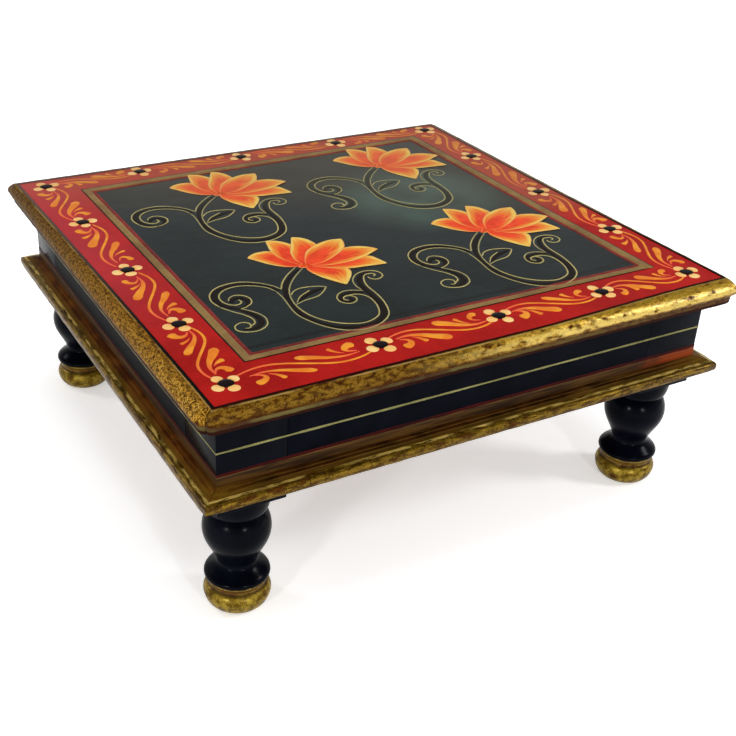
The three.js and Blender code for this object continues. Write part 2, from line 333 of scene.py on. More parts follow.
# %% [markdown]
# ## Near-black lacquer
#
# The rails and legs are a blue-black, almost mirror-like paint. What makes it look like real
# lacquer is not its colour but small changes of gloss and a faint waviness from the brush.


# %% Lacquer and the painted rails
LACQUER_SHINE = 0.032
RAIL_SHINE = LACQUER_SHINE * 0.72
# Only the outer faces of the rails are painted, and the paint is deemed this thick.
PAINTED_SKIN = 1 * MM


def beyond(finish, corner):
    """How far a point lies outside the upright faces of a box, given the box's high corner."""
    across = abs(finish.axis("X")) - corner.x
    return across.larger(abs(finish.axis("Y")) - corner.y)


def lacquer_parts(finish):
    """Colour, roughness and relief of the blue-black lacquer."""
    cloud = finish.clouds(22 * MM, 4)
    brush = finish.clouds(1.6 * MM, 3, (0.12, 0.12, 1))
    dust = finish.clouds(0.7 * MM, 1).fade(0.72, 0.78)
    tone = finish.mix(cloud.fade(0.35, 0.7), screen(2, 4, 10), screen(8, 10, 19))
    tone = finish.mix(dust * 0.4, tone, screen(40, 42, 50))
    return tone, 0.14 + cloud * 0.16, cloud * 1.2 + brush * 0.35


def rail_paint():
    paint = Finish("navy lacquer on rails", Specular_IOR_Level=RAIL_SHINE)
    tone, gloss, relief = lacquer_parts(paint)
    outside = beyond(paint, frame_high).fade(-PAINTED_SKIN, -PAINTED_SKIN / 2)
    return paint.surface(
        Base_Color=paint.mix(outside, grain_colour(paint), tone),
        Roughness=gloss + 0.22 + (1 - outside) * 0.2,
        Normal=paint.bump(relief, 0.12 * MM),
    )


rails_paint = rail_paint()
for side in SIDES:
    repaint(side + "_rail", rails_paint)
print("rails painted")

# %% [markdown]
# ## Pegs and nails
#
# These sit inside the joints. Only the peg ends show, on the inner faces of the legs, but every
# carried piece gets its own finish, in case the table is taken apart.


# %% Steel wire, and finishes for the hidden pieces
def drawn_wire():
    steel = Finish("drawn wire", Metallic=1.0)
    scratch = steel.clouds(0.5 * MM, 3, (1, 1, 0.1))
    return steel.surface(
        Base_Color=steel.mix(scratch, screen(120, 120, 122), screen(170, 168, 164)),
        Roughness=0.3 + scratch * 0.25,
    )


wood, wire = bare_wood(), drawn_wire()
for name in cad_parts:
    if "_peg_" in name or "brad" in name or "nail" in name:
        repaint(name, wood if "_peg_" in name else wire)
print("hidden pieces finished")

# %% [markdown]
# ## Worn gold leaf
#
# The mouldings were gilded over dark brown and then rubbed along their length. So gold is a mask
# that is drawn out along the side: it is lost in broad patches and in small flecks, and what is
# left is crinkled. Gold parts are metal, brown parts are not, which is why the leaf glitters.


# %% Gold leaf over brown
RUN_STRETCH = {"X": (0.45, 1, 1), "Y": (1, 0.45, 1)}
FINE_LINE_STRETCH = {"X": (0.03, 1, 1), "Y": (1, 0.03, 1)}
NOSE_STRETCH = {"X": (0.22, 1, 1), "Y": (1, 0.22, 1)}
ACROSS_STRETCH = {"X": (1, 0.04, 0.04), "Y": (0.04, 1, 0.04)}
EVEN_STRETCH = (1, 1, 1)
TOP_GOLD = {
    "X": (screen(92, 60, 6), screen(170, 128, 40)), "Y": (screen(72, 42, 3), screen(158, 110, 26))
}
LOWER_GOLD = (screen(60, 40, 4), screen(120, 93, 25))
FOOT_GOLD = (screen(92, 70, 8), screen(152, 127, 42))
GOLD_METAL = 0.45
GOLD_COAT = 0.16


def worn_leaf(finish, stretch, grain, tones, wear=0, specks=0.7):
    """Colour, share of gold and relief of leaf of two tones that is worn along the stretch."""
    broad = finish.clouds(10 * MM, 3, stretch)
    mottle = finish.clouds(grain, 5, stretch)
    crinkle = finish.clouds(0.9 * MM, 3)
    lost = (broad * 0.4 + mottle * 0.7 + wear).fade(0.555, 0.66)
    gold = finish.mix((mottle * 0.6 + crinkle * 0.4).fade(0.42, 0.57), tones[1], tones[0])
    brown = finish.mix(crinkle.fade(0.4, 0.6), screen(50, 18, 2), screen(94, 54, 12))
    fleck = finish.clouds(0.75 * MM, 2).fade(0.60, 0.67)
    colour = finish.coated(gold, (lost, brown), (fleck * specks, screen(44, 18, 3)))
    return colour, 1 - lost, broad * 1.2 + mottle + crinkle * 0.7


# %% [markdown]
# ## Working by hand in code
#
# An operator acts on whatever is selected, so each step first selects just what it needs. These
# helpers add a primitive with nothing else selected, pick parts of it by their place, thicken and
# close it, and hand the finished piece to the table.

# %% Selecting and finishing
DOUBLES_WITHIN = 0.002 * MM
SHARP_IN_WOOD, SHARP_IN_PAINT = 35, 60


def added(make, **how):
    """Deselects everything, adds a primitive and returns it."""
    bpy.ops.object.select_all(action="DESELECT")
    make(**how)
    return bpy.context.object


def only(piece):
    bpy.ops.object.select_all(action="DESELECT")
    piece.select_set(True)
    bpy.context.view_layer.objects.active = piece


def pick_parts(piece, kind, chosen):
    """In edit mode, selects the vertices, edges or faces that satisfy chosen."""
    shape = bmesh.from_edit_mesh(piece.data)
    bpy.ops.mesh.select_all(action="DESELECT")
    bpy.ops.mesh.select_mode(type=kind)
    for part in {"VERT": shape.verts, "EDGE": shape.edges, "FACE": shape.faces}[kind]:
        part.select = chosen(part)
    shape.select_flush_mode()
    bmesh.update_edit_mesh(piece.data)


def pick(piece, chosen):
    """In edit mode, selects the vertices whose place satisfies chosen, and their edges and faces."""
    pick_parts(piece, "VERT", lambda vertex: chosen(vertex.co))


def edit(piece):
    only(piece)
    bpy.ops.object.mode_set(mode="EDIT")
    bpy.ops.mesh.select_all(action="SELECT")


def leave_edit():
    bpy.ops.object.mode_set(mode="OBJECT")


def settle():
    """Puts the active piece's place, turn and scale into its mesh."""
    bpy.ops.object.transform_apply(location=True, rotation=True, scale=True)


def thickened(piece, depth):
    """Grows a sheet of paint outwards, to this depth."""
    skin = piece.modifiers.new("paint", "SOLIDIFY")
    skin.thickness = depth
    skin.offset = 1
    bpy.ops.object.modifier_apply(modifier=skin.name)


def close_up(piece, angle=SHARP_IN_WOOD):
    """Merges doubled points, turns every face outwards and smooths all but the sharp edges."""
    edit(piece)
    bpy.ops.mesh.remove_doubles(threshold=DOUBLES_WITHIN)
    bpy.ops.mesh.normals_make_consistent(inside=False)
    leave_edit()
    bpy.ops.object.shade_smooth_by_angle(angle=math.radians(angle))


def give(piece, name, slot, material, *nodes):
    """Names a finished piece, paints it, and sets it on the table in place of the given nodes."""
    piece.name = name
    piece.data.name = name
    piece.data.materials.clear()
    piece.data.materials.append(material)
    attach(piece, "root")
    if nodes:
        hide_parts(*nodes)
    return piece


def join(pieces):
    only(pieces[0])
    for piece in pieces:
        piece.select_set(True)
    bpy.ops.object.join()
    return bpy.context.object


def poly_curve(lines, size):
    """A curve of straight stretches, one for each line of points."""
    curve = added(bpy.ops.curve.primitive_bezier_curve_add, radius=size).data
    curve.splines.clear()
    for line in lines:
        spline = curve.splines.new("POLY")
        spline.points.add(len(line) - 1)
        for point, place in zip(spline.points, line):
            point.co = (*place, 1)
    return curve


def smooth_path(points, count):
    """A smooth line through the points: count steps on each stretch between two of them."""
    points = [Vector(point) for point in points]
    ends = [2 * points[0] - points[1], *points, 2 * points[-1] - points[-2]]
    line = []
    for before, start, end, after in zip(ends, ends[1:], ends[2:], ends[3:]):
        for step in range(count):
            t = step / count
            line.append(0.5 * (
                2 * start + (end - before) * t
                + (2 * before - 5 * start + 4 * end - after) * t ** 2
                + (3 * start - before - 3 * end + after) * t ** 3
            ))
    return [*line, points[-1]]


# %% [markdown]
# ## Mouldings
#
# A moulding is one outline run along a side. The outline is a circle whose points are laid on the
# section, extruded along the side and divided. The top moulding is then spun about the corner of
# the boards, which rounds its ends, and the lower one is cut by a slanting plane, as in a mitre box.
# A faint displacement afterwards gives the unevenness of something planed by hand.

# %% The two sections, as shares of width and height
TOP_SECTION_SHARES = [
    (0.84, 0.36), (0.95, 0.41), (1, 0.51), (0.985, 0.62), (0.91, 0.73), (0.76, 0.84), (0.56, 0.93),
    (0.37, 0.98), (0.24, 1),
]
TOP_FILLET_SHARES = [(0.7, 0), (0.74, 0.35)]
# The paint laps over the inner edge of the top moulding, which is let down there.
TOP_REBATE_SHARES = [(0.012, 1), (0.012, 0.93), (0, 0.93)]
LOWER_SECTION_SHARES = [(0.9, 0), (0.965, 0.06), (1, 0.32), (0.978, 0.56), (0.88, 0.69), (0.72, 0.755)]
LOWER_LEDGE_SHARES = (0.63, 0.78)
TOP_WIDTH = field_low.y - top_low.y
LOWER_WIDTH = frame_low.y - lower_low.y
SECTION_STEPS = 4
FILLET_STEPS, UNDERSIDE_STEPS, LEDGE_STEPS = 3, 4, 6


def subdivided(start, end, count):
    return [start.lerp(end, step / count) for step in range(count)]


def section(corners, width, height):
    """Scaled points of a section that starts and ends on the inner face."""
    return [Vector((out * width, up * height, 0)) for out, up in corners]


def top_section():
    height = top_high.z - top_low.z
    flat = section([(0, 0), *TOP_FILLET_SHARES], TOP_WIDTH, height)
    nose = smooth_path(section(TOP_SECTION_SHARES, TOP_WIDTH, height), SECTION_STEPS)
    rebate = section(TOP_REBATE_SHARES, TOP_WIDTH, height)
    margin = subdivided(nose[-1], rebate[0], SECTION_STEPS)
    fillet = [p for start, end in zip(flat, flat[1:]) for p in subdivided(start, end, FILLET_STEPS)]
    return [*fillet, flat[2], *nose[:-1], *margin, *rebate]


def lower_section():
    height = lower_high.z - lower_low.z
    nose = smooth_path(section(LOWER_SECTION_SHARES, LOWER_WIDTH, height), SECTION_STEPS)
    ledge = section([LOWER_LEDGE_SHARES, (0, 1)], LOWER_WIDTH, height)
    underside = subdivided(Vector((0, 0, 0)), nose[0], UNDERSIDE_STEPS)
    return [*underside, *nose, *subdivided(ledge[0], ledge[1], LEDGE_STEPS), ledge[1]]


# %% Running a section along a side
RUN_CUTS = 170
CORNER_STEPS = 10
# How far each rounded corner swells past a quarter of a circle. Below 0 it is cut back instead.
CORNER_FULLNESS = {"front_left": -0.45, "front_right": 0.5, "back_right": 0.3, "back_left": 0.9}
MITRE_TURN = math.radians(44.85)
MITRE_GAP = 0.03 * MM
# How much of each corner of the lower moulding has worn away.
CORNER_WEAR = 0.15
HAND_PLANED = 0.5 * MM
PLANE_MARKS = 9 * MM
# Most of the unevenness goes inwards, so that a moulding keeps its greatest size.
PLANED_LEVEL = 0.93
A_HAIR = 0.1 * MM


def run_section(outline, half, inner_out, bottom, past):
    """The section, run along the front for half plus past on each side of the middle."""
    piece = added(bpy.ops.mesh.primitive_circle_add, vertices=len(outline), radius=LOWER_WIDTH)
    for vertex, point in zip(piece.data.vertices, outline):
        vertex.co = (-half - past, -inner_out - point.x, bottom + point.y)
    edit(piece)
    bpy.ops.mesh.extrude_edges_move(TRANSFORM_OT_translate={"value": (2 * (half + past), 0, 0)})
    pick_parts(piece, "EDGE", lambda edge: abs(edge.verts[0].co.x - edge.verts[1].co.x) > half)
    bpy.ops.mesh.subdivide(number_cuts=RUN_CUTS)
    leave_edit()
    return piece


def rounded_ends(piece, half, inner_out, fullness):
    """Spins each end about the corner of the boards, as far as the mitre, and closes it."""
    edit(piece)
    for sign in (-1, 1):
        pick(piece, lambda place: sign * place.x > half - A_HAIR)
        bpy.ops.mesh.spin(
            steps=CORNER_STEPS, angle=-sign * MITRE_TURN,
            center=(sign * half, -inner_out, 0), axis=(0, 0, 1),
        )
    bpy.ops.mesh.select_all(action="SELECT")
    bpy.ops.mesh.fill_holes(sides=0)
    leave_edit()
    for vertex in piece.data.vertices:
        past, out = abs(vertex.co.x) - half, -vertex.co.y - inner_out
        if past > 0:
            swell = fullness[0 if vertex.co.x < 0 else 1]
            fuller = 1 + swell * (math.hypot(past, out) / max(past, out) - 1)
            vertex.co.x = math.copysign(half + past * fuller, vertex.co.x)
            vertex.co.y = -inner_out - out * fuller


def mitred_ends(piece, half, inner_out):
    """Cuts each end by an upright plane at 45 degrees, and wears its corner."""
    edit(piece)
    for sign in (-1, 1):
        bpy.ops.mesh.select_all(action="SELECT")
        bpy.ops.mesh.bisect(
            plane_co=(sign * (half - MITRE_GAP), -inner_out, 0), plane_no=(sign, 1, 0),
            use_fill=True, clear_outer=True,
        )
    leave_edit()
    for vertex in piece.data.vertices:
        past, out = abs(vertex.co.x) - half, -vertex.co.y - inner_out
        if past > 0 and out > 0:
            nearer = 1 / (1 + CORNER_WEAR * (math.hypot(past, out) / max(past, out) - 1))
            vertex.co.x = math.copysign(half + past * nearer, vertex.co.x)
            vertex.co.y = -inner_out - out * nearer


uneven = bpy.data.textures.new("hand planed", type="CLOUDS")
uneven.noise_scale = PLANE_MARKS
uneven.noise_depth = 2


def hand_planed(piece, depth):
    only(piece)
    planed = piece.modifiers.new("hand planed", "DISPLACE")
    planed.texture = uneven
    planed.texture_coords = "LOCAL"
    planed.strength = depth
    planed.mid_level = PLANED_LEVEL
    bpy.ops.object.modifier_apply(modifier=planed.name)


def turned_to_side(piece, quarter):
    only(piece)
    piece.rotation_euler.z = quarter * math.pi / 2
    settle()


# %% [markdown]
# ## An edge that wanders
#
# The painter's edge is not the boards' edge: on all sides but the back the paint runs out over the
# moulding by a few millimetres. One function says how far, and both the moulding and the red paint
# follow it. Each point of the moulding also notes its distance from the painted edge, as an
# attribute that the gilding reads, so that the black line follows too.

# %% How far the painted edge has wandered
EDGE_REACH_INSIDE = 26 * MM
FRONT_DRIFT, LEFT_DRIFT, RIGHT_DRIFT = 5.4 * MM, 4.6 * MM, 3.2 * MM
# The front's drift lasts over its left part and then fades, and the right's fades towards the back.
FRONT_STEADY_SHARE, FRONT_FADING_SHARE, RIGHT_FADING_SHARE = 0.55, 0.4, 0.55
# The left's drift grows towards the back, as this power of the way there.
LEFT_GROWTH = 1.7
CREASE_HEIGHT = top_low.z + TOP_SECTION_SHARES[0][1] * (top_high.z - top_low.z)


def eased(t):
    """0 up to 0 and 1 from 1 on, smooth between them."""
    t = min(1, max(0, t))
    return t * t * (3 - 2 * t)


def edge_shift(place):
    """How far the painted edge beside this place has wandered along X and along Y."""
    across = (place.x - field_low.x) / (field_high.x - field_low.x)
    deep = (place.y - field_low.y) / (field_high.y - field_low.y)

    def near(inside):
        return eased(1 - inside / EDGE_REACH_INSIDE)

    at_right = eased((across - FRONT_STEADY_SHARE) / FRONT_FADING_SHARE)
    front = FRONT_DRIFT * (1 - at_right) * near(place.y - field_low.y)
    left = LEFT_DRIFT * max(0, deep) ** LEFT_GROWTH * near(place.x - field_low.x)
    right = RIGHT_DRIFT * (1 - eased(deep / RIGHT_FADING_SHARE)) * near(field_high.x - place.x)
    return Vector((right - left, -front, 0))


def follow_painted_edge(piece):
    """Moves the top of a moulding with the paint. Its outer face stays where it is."""
    noted = piece.data.attributes.new("distance from paint", "FLOAT", "POINT")
    for vertex, note in zip(piece.data.vertices, noted.data):
        out = Vector((abs(vertex.co.x) - field_high.x, abs(vertex.co.y) - field_high.y))
        shift = edge_shift(vertex.co)
        note.value = max(
            out.x * (1 - abs(shift.x) / TOP_WIDTH), out.y * (1 - abs(shift.y) / TOP_WIDTH)
        )
        reach = math.hypot(max(0, out.x), max(0, out.y))
        if reach > A_HAIR / 2 and vertex.co.z > CREASE_HEIGHT + A_HAIR:
            vertex.co += shift * max(0, 1 - reach / TOP_WIDTH)


# %% Gold for the mouldings
GILDING = {"Specular_IOR_Level": 0.02, "Coat_Roughness": 0.2}
EDGE_LINE_WIDTH = 2.4 * MM
FILLET_HEIGHT = TOP_FILLET_SHARES[1][1] * (top_high.z - top_low.z)
NOSE_START = LOWER_LEDGE_SHARES[0] * LOWER_WIDTH
CORNER_SUM = lower_low.y - lower_high.x
# Shares of the ledge's width at which a fine line of painted glint runs along it.
RULED_ON_LEDGE = (0.33, 0.66)


def gilded(finish, colour, metal, varnish, relief):
    """The leaf's colour, painted light and shade included, and its shine, with a little varnish on what is
    left of the gold.
    """
    return finish.surface(
        Base_Color=colour,
        Metallic=metal * GOLD_METAL,
        Coat_Weight=metal * varnish * GOLD_COAT,
        Roughness=0.46 - metal * 0.16,
        Normal=finish.bump(relief, 0.35 * MM),
    )


def top_gilding(run, grain, wear, shaded, wrinkle_glints, line_tone):
    """Leaf with a dark line inside it, a grey-olive fillet below it and dark red under that, partly
    painted shade.
    """
    leaf = Finish("gilding of the top moulding along " + run, **GILDING)
    along = RUN_STRETCH[run]
    right_part = leaf.axis("X").fade(-80 * MM, 60 * MM)
    far_part = leaf.axis("Y").fade(-120 * MM, 160 * MM)
    by_front = 1 - leaf.axis("Y").fade(top_low.y + 8 * MM, top_low.y + 150 * MM)
    gilt, gold, relief = worn_leaf(leaf, along, grain, TOP_GOLD[run], wear * (1 - right_part))
    out = leaf.node("ShaderNodeAttribute", {"attribute_name": "distance from paint"}, output="Fac")
    waver = (leaf.clouds(5 * MM, 3, along) - 0.5) * MM
    height = leaf.axis("Z") - top_low.z + waver * 1.6
    tall = top_high.z - top_low.z
    patchy = leaf.clouds(30 * MM, 3).fade(0.38, 0.6)
    kept = leaf.clouds(4 * MM, 4, along).fade(0.36, 0.52)
    kept = kept * (1 - leaf.clouds(0.75 * MM, 2).fade(0.58, 0.66) * 0.75)
    # Painted highlight: the upper slope of the nose is lighter on the right part.
    shoulder = height.fade(tall * 0.7, tall * 0.86) * right_part * 0.45
    # Along the crest, partly brighter leaf and partly a painted highlight, strongest on the right.
    crest = height.between(tall * 0.6, tall * 0.76, tall * 0.14) * (0.02 + right_part * 0.7)
    wrinkle = 1 - abs(leaf.clouds(2.6 * MM, 2) - 0.5).fade(0.01, 0.05)
    # Painted glints on the wrinkles of the leaf, strongest towards the front.
    glint = wrinkle * height.between(tall * 0.5, tall * 0.9, tall * 0.1) * (0.3 + by_front * 0.7)
    # Painted shade on the lower part of the nose, which faces down.
    lower_nose_shade = 1 - height.fade(FILLET_HEIGHT + 0.4 * MM, tall * 0.62)
    below = 1 - height.fade(FILLET_HEIGHT - 0.6 * MM, FILLET_HEIGHT + 0.4 * MM)
    fillet = below * (0.45 + patchy * 0.5) * (1 - right_part * 0.5)
    # Dark red paint at the bottom, widened into a band of painted shade under the moulding.
    foot = 1 - height.fade(1.8 * MM, 3 * MM)
    rim = out.between(EDGE_LINE_WIDTH + 0.3 * MM, EDGE_LINE_WIDTH + 0.8 * MM, 0.3 * MM) * patchy
    line = 1 - (out + waver * 0.3).fade(EDGE_LINE_WIDTH - 0.5 * MM, EDGE_LINE_WIDTH + 0.3 * MM)
    colour = leaf.coated(
        gilt,
        ((1 - right_part) * shaded, screen(46, 20, 0)),
        (shoulder * kept, screen(192, 160, 48)),
        (crest * kept, screen(232, 202, 108)),
        (glint * wrinkle_glints, screen(226, 178, 72)),
        (lower_nose_shade * 0.8, screen(60, 24, 3)),
        (fillet, leaf.mix(patchy, screen(66, 52, 40), screen(104, 94, 52))),
        (foot, screen(40, 16, 10)),
        # painted shade, darker towards the back
        (far_part * 0.6, screen(52, 34, 10)),
        (rim * 0.7, screen(166, 138, 78)),
        # the line, paler towards the back with a painted highlight
        (line, leaf.mix(far_part * 0.7, line_tone, screen(116, 92, 84))),
    )
    metal = gold * (1 - line) * (1 - foot) * (1 - fillet) * (1 - lower_nose_shade * 0.7)
    return gilded(leaf, colour, metal * (0.15 + right_part * 0.85), right_part, relief)


def lower_gilding(run, dark, light, glint, lightened):
    """Leaf on the nose, with a painted highlight along its upper edge. The ledge behind it is brown with
    thin lines of painted glint along it.
    """
    leaf = Finish("gilding of the lower moulding along " + run, **GILDING)
    along = RUN_STRETCH[run]
    gilt, gold, relief = worn_leaf(leaf, NOSE_STRETCH[run], 2.4 * MM, LOWER_GOLD, -0.06, 0.25)
    out = beyond(leaf, frame_high)
    waver = (leaf.clouds(5 * MM, 3, along) - 0.5) * MM
    height = leaf.axis("Z") - lower_low.z
    stain = leaf.clouds(9 * MM, 3, along)
    thin_lines = leaf.clouds(1.1 * MM, 3, FINE_LINE_STRETCH[run]).fade(0.5, 0.7)
    from_corner = leaf.axis("Y") - abs(leaf.axis("X")) + stain * 20 * MM
    by_corner = 1 - from_corner.fade(CORNER_SUM, CORNER_SUM + 70 * MM)
    outer_part = (out + waver * 2).fade(NOSE_START - 4 * MM, NOSE_START - 1.5 * MM)
    # Thin lines of painted glint run along the brown ledge.
    ledge = leaf.coated(leaf.mix(stain.fade(0.4, 0.6), dark, light), (thin_lines * 0.24, glint))
    for share in RULED_ON_LEDGE:
        ruled = 1 - abs(out + waver * 0.4 - NOSE_START * share).fade(0.1 * MM, 0.45 * MM)
        ledge = leaf.coated(ledge, (ruled * stain.fade(0.2, 0.6) * 0.36, glint))
    ledge = leaf.coated(
        ledge,
        (by_corner * 0.75, screen(128, 86, 20)),
        (outer_part * lightened, screen(134, 104, 36)),
    )
    on_ledge = 1 - (out + waver * 2).fade(NOSE_START - 0.8 * MM, NOSE_START + 0.2 * MM)
    on_ledge = on_ledge * height.fade(4 * MM, 5 * MM)
    # Painted highlight along the upper edge of the nose, broken up by the leaf.
    arris_highlight = out.between(NOSE_START + 0.3 * MM, NOSE_START + 1.7 * MM, 0.6 * MM)
    arris_highlight = arris_highlight * height.fade(5.8 * MM, 7 * MM) * leaf.clouds(12 * MM, 3, along).fade(0.32, 0.5)
    arris_highlight = arris_highlight * leaf.clouds(2.2 * MM, 4, NOSE_STRETCH[run]).fade(0.4, 0.56)
    ticks = leaf.clouds(1.5 * MM, 2, ACROSS_STRETCH[run]).fade(0.63, 0.68)
    ticks = ticks * leaf.clouds(24 * MM, 2).fade(0.46, 0.56) * (1 - on_ledge)
    underneath = 1 - (height + waver * 0.6).fade(0.5 * MM, 1.3 * MM)
    colour = leaf.coated(
        gilt,
        (on_ledge * (1 - by_corner * 0.6), ledge),
        (arris_highlight * 0.85, screen(232, 198, 104)),
        (ticks * 0.7, screen(44, 22, 4)),
        (underneath * 0.8, screen(50, 28, 10)),
    )
    metal = gold * (1 - on_ledge * 0.85) * (1 - underneath)
    return gilded(leaf, colour, metal, 0.4, relief)


top_gold = {
    "X": top_gilding("X", 2.2 * MM, 0.03, 0.56, 0, screen(38, 6, 4)),
    "Y": top_gilding("Y", 1.4 * MM, -0.06, 0.1, 0.7, screen(12, 9, 8)),
}
lower_gold = {
    "X": lower_gilding("X", screen(32, 13, 3), screen(60, 31, 6), screen(150, 116, 50), 0.2),
    "Y": lower_gilding("Y", screen(66, 27, 3), screen(98, 50, 8), screen(154, 114, 46), 0.35),
}

# %% Make the eight mouldings
for quarter, side in enumerate(SIDES):
    run = "XY"[quarter % 2]
    half, out = (field_high.x, field_high.y) if run == "X" else (field_high.y, field_high.x)
    top = run_section(top_section(), half, out, top_low.z, 0)
    ends = CORNERS[quarter], CORNERS[(quarter + 1) % 4]
    rounded_ends(top, half, out, [CORNER_FULLNESS[end] for end in ends])
    turned_to_side(top, quarter)
    close_up(top)
    follow_painted_edge(top)
    hand_planed(top, HAND_PLANED)
    give(top, side + "_gilt_top_moulding", "gilding", top_gold[run], side + "_top_moulding")

    half, out = (frame_high.x, frame_high.y) if run == "X" else (frame_high.y, frame_high.x)
    lower = run_section(lower_section(), half, out, lower_low.z, LOWER_WIDTH)
    mitred_ends(lower, half, out)
    turned_to_side(lower, quarter)
    close_up(lower)
    hand_planed(lower, HAND_PLANED)
    give(lower, side + "_gilt_lower_moulding", "gilding", lower_gold[run], side + "_lower_moulding")
print("faces of a top moulding:", len(top.data.polygons))
print("faces of a lower moulding:", len(lower.data.polygons))

# %% [markdown]
# ## Turned legs
#
# A leg is turned on a lathe from one square post. So is this one: half of its outline is spun round
# the leg's axis. The square part above is a cube with its edges eased, joined to the turning. The
# outline of each member is given in shares of that member's own radius and height.

# %% The members of a leg, from the floor up
LEG_MEMBERS = [
    # radius and height in millimetres, then the shares of each along its outline
    (21.6, 15.2, [
        (0.7, 0), (0.81, 0.06), (0.93, 0.27), (1, 0.58), (0.985, 0.77), (0.93, 0.93), (0.87, 1),
    ]),
    (20.6, 6.8, [(0.92, 0.04), (0.895, 0.28), (0.91, 0.58), (0.965, 0.8), (0.985, 0.91), (0.95, 1)]),
    (21.7, 49, [(0.945, 0), (0.965, 0.012), (0.97, 0.03), (0.955, 0.055), (0.9, 0.085), (0.82, 0.115),
                (0.74, 0.145), (0.67, 0.175), (0.62, 0.205), (0.605, 0.235), (0.62, 0.275),
                (0.66, 0.325), (0.73, 0.39), (0.81, 0.46), (0.9, 0.54), (0.965, 0.62), (1, 0.71),
                (0.99, 0.80), (0.955, 0.87), (0.89, 0.94), (0.8, 1)]),
    (21.6, 15, [(0.79, 0), (0.86, 0.08), (0.93, 0.26), (0.97, 0.5), (0.99, 0.75), (1, 1)]),
]
GILT_HEIGHT = (LEG_MEMBERS[0][1] + LEG_MEMBERS[1][1]) * MM
MEMBER_STEPS = 5
LATHE_STEPS = 72
POST_EDGE = 0.25 * MM
POST_RECESS = 0.03 * MM


def leg_outline():
    line, floor = [Vector((0, 0, 0))], 0
    for radius, height, shares in LEG_MEMBERS:
        points = [Vector((out * radius * MM, 0, (floor + up * height) * MM)) for out, up in shares]
        line += smooth_path(points, MEMBER_STEPS)
        floor += height
    return [*line, Vector((0, 0, floor * MM))], floor * MM


def turning():
    line, height = leg_outline()
    poly_curve([line], height)
    bpy.ops.object.convert(target="MESH")
    piece = bpy.context.object
    edit(piece)
    bpy.ops.mesh.spin(steps=LATHE_STEPS, angle=2 * math.pi, center=(0, 0, 0), axis=(0, 0, 1))
    leave_edit()
    return piece, height


def square_post(low, high):
    piece = added(
        bpy.ops.mesh.primitive_cube_add, size=1, location=(low + high) / 2, scale=high - low
    )
    settle()
    rounding = piece.modifiers.new("eased edges", "BEVEL")
    rounding.width = POST_EDGE
    rounding.segments = 3
    bpy.ops.object.modifier_apply(modifier=rounding.name)
    return piece


# %% Lacquer with a gilt foot
def leg_paint():
    paint = Finish(
        "lacquer and gilding of a leg", Specular_IOR_Level=LACQUER_SHINE, Coat_Roughness=0.2
    )
    tone, gloss, relief = lacquer_parts(paint)
    leaf, gold, leaf_relief = worn_leaf(paint, EVEN_STRETCH, 5 * MM, FOOT_GOLD, -0.1, 0.2)
    height = paint.axis("Z") + (paint.clouds(9 * MM, 2) - 0.5) * 0.7 * MM
    gilt = 1 - height.fade(GILT_HEIGHT - 0.1 * MM, GILT_HEIGHT + 0.15 * MM)
    bead = height.between(GILT_HEIGHT - 1.8 * MM, GILT_HEIGHT - 0.9 * MM, 0.4 * MM)
    shade = height.between(GILT_HEIGHT - 4.4 * MM, GILT_HEIGHT - 2.6 * MM, 0.7 * MM)
    groove = 1 - abs(height - LEG_MEMBERS[0][1] * MM - 0.8 * MM).fade(0.4 * MM, 1.5 * MM)
    leaf = paint.coated(
        leaf,
        (shade * 0.7, screen(84, 46, 16)),
        (bead * 0.45, screen(168, 148, 98)),
        (groove * 0.85, screen(46, 22, 8)),
    )
    return paint.surface(
        Base_Color=paint.mix(gilt, tone, leaf),
        Metallic=gilt * gold * GOLD_METAL,
        Coat_Weight=gilt * gold * GOLD_COAT * 0.5,
        Roughness=gloss + gilt * 0.16,
        Normal=paint.bump(relief + gilt * leaf_relief * 0.8, 0.14 * MM),
    )


legs_paint = leg_paint()
for corner in CORNERS:
    low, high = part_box(corner + "_leg")
    axis = (low + high) / 2
    leg, shoulder = turning()
    only(leg)
    leg.location = (axis.x, axis.y, 0)
    settle()
    right, back = axis.x > 0, axis.y > 0
    post_low = Vector((
        (low.x if right else frame_low.x) + POST_RECESS,
        (low.y if back else frame_low.y) + POST_RECESS,
        shoulder - POST_RECESS,
    ))
    post_high = Vector((
        (frame_high.x if right else high.x) - POST_RECESS,
        (frame_high.y if back else high.y) - POST_RECESS,
        frame_high.z,
    ))
    close_up(leg)
    whole = join([square_post(post_low, post_high), leg])
    close_up(whole)
    give(whole, corner + "_turned_leg", "navy_paint", legs_paint, corner + "_leg")
print("faces of a leg:", len(whole.data.polygons))

# %% [markdown]
# ## Brush strokes
#
# Almost all the ornament is single strokes of a round brush, so one function makes them all. A
# stroke is a curve with a round bevel whose radius swells and thins along it. Converted to a mesh,
# its top is pressed flat at the paint's height and its underside at the surface, which leaves a low
# ridge of paint with soft sides. The conversion also gives a UV map that runs along each stroke.

# %% Strokes and how they swell
PAINT_HEIGHT = 0.12 * MM
STROKE_SIDES = 3
CROWN_LEFT = 0.03


def steady(t):
    """A line: even, with short rounded ends."""
    return min(1, (t + 0.004) / 0.04, (1.004 - t) / 0.04) ** 0.5


def wedge(t):
    """A leaf: thin where the brush lands, and widest just before it lifts off bluntly."""
    return (0.16 + 0.84 * min(1, max(0, t / 0.88)) ** 1.2) * min(1, max(0.02, (1.01 - t) / 0.08)) ** 0.5


def oval(t):
    """A petal or a dot."""
    return max(0.02, 1 - (2 * t - 1) ** 2) ** 0.5


def tapered(t):
    """A stem that thins towards both ends."""
    return 0.5 + 0.5 * math.sin(math.pi * min(1, max(0, t))) ** 0.5


def stroke(points, width, swell):
    """The points of a stroke, each with the brush's half width there."""
    last = len(points) - 1
    return [(place, width / 2 * swell(step / last)) for step, place in enumerate(points)]


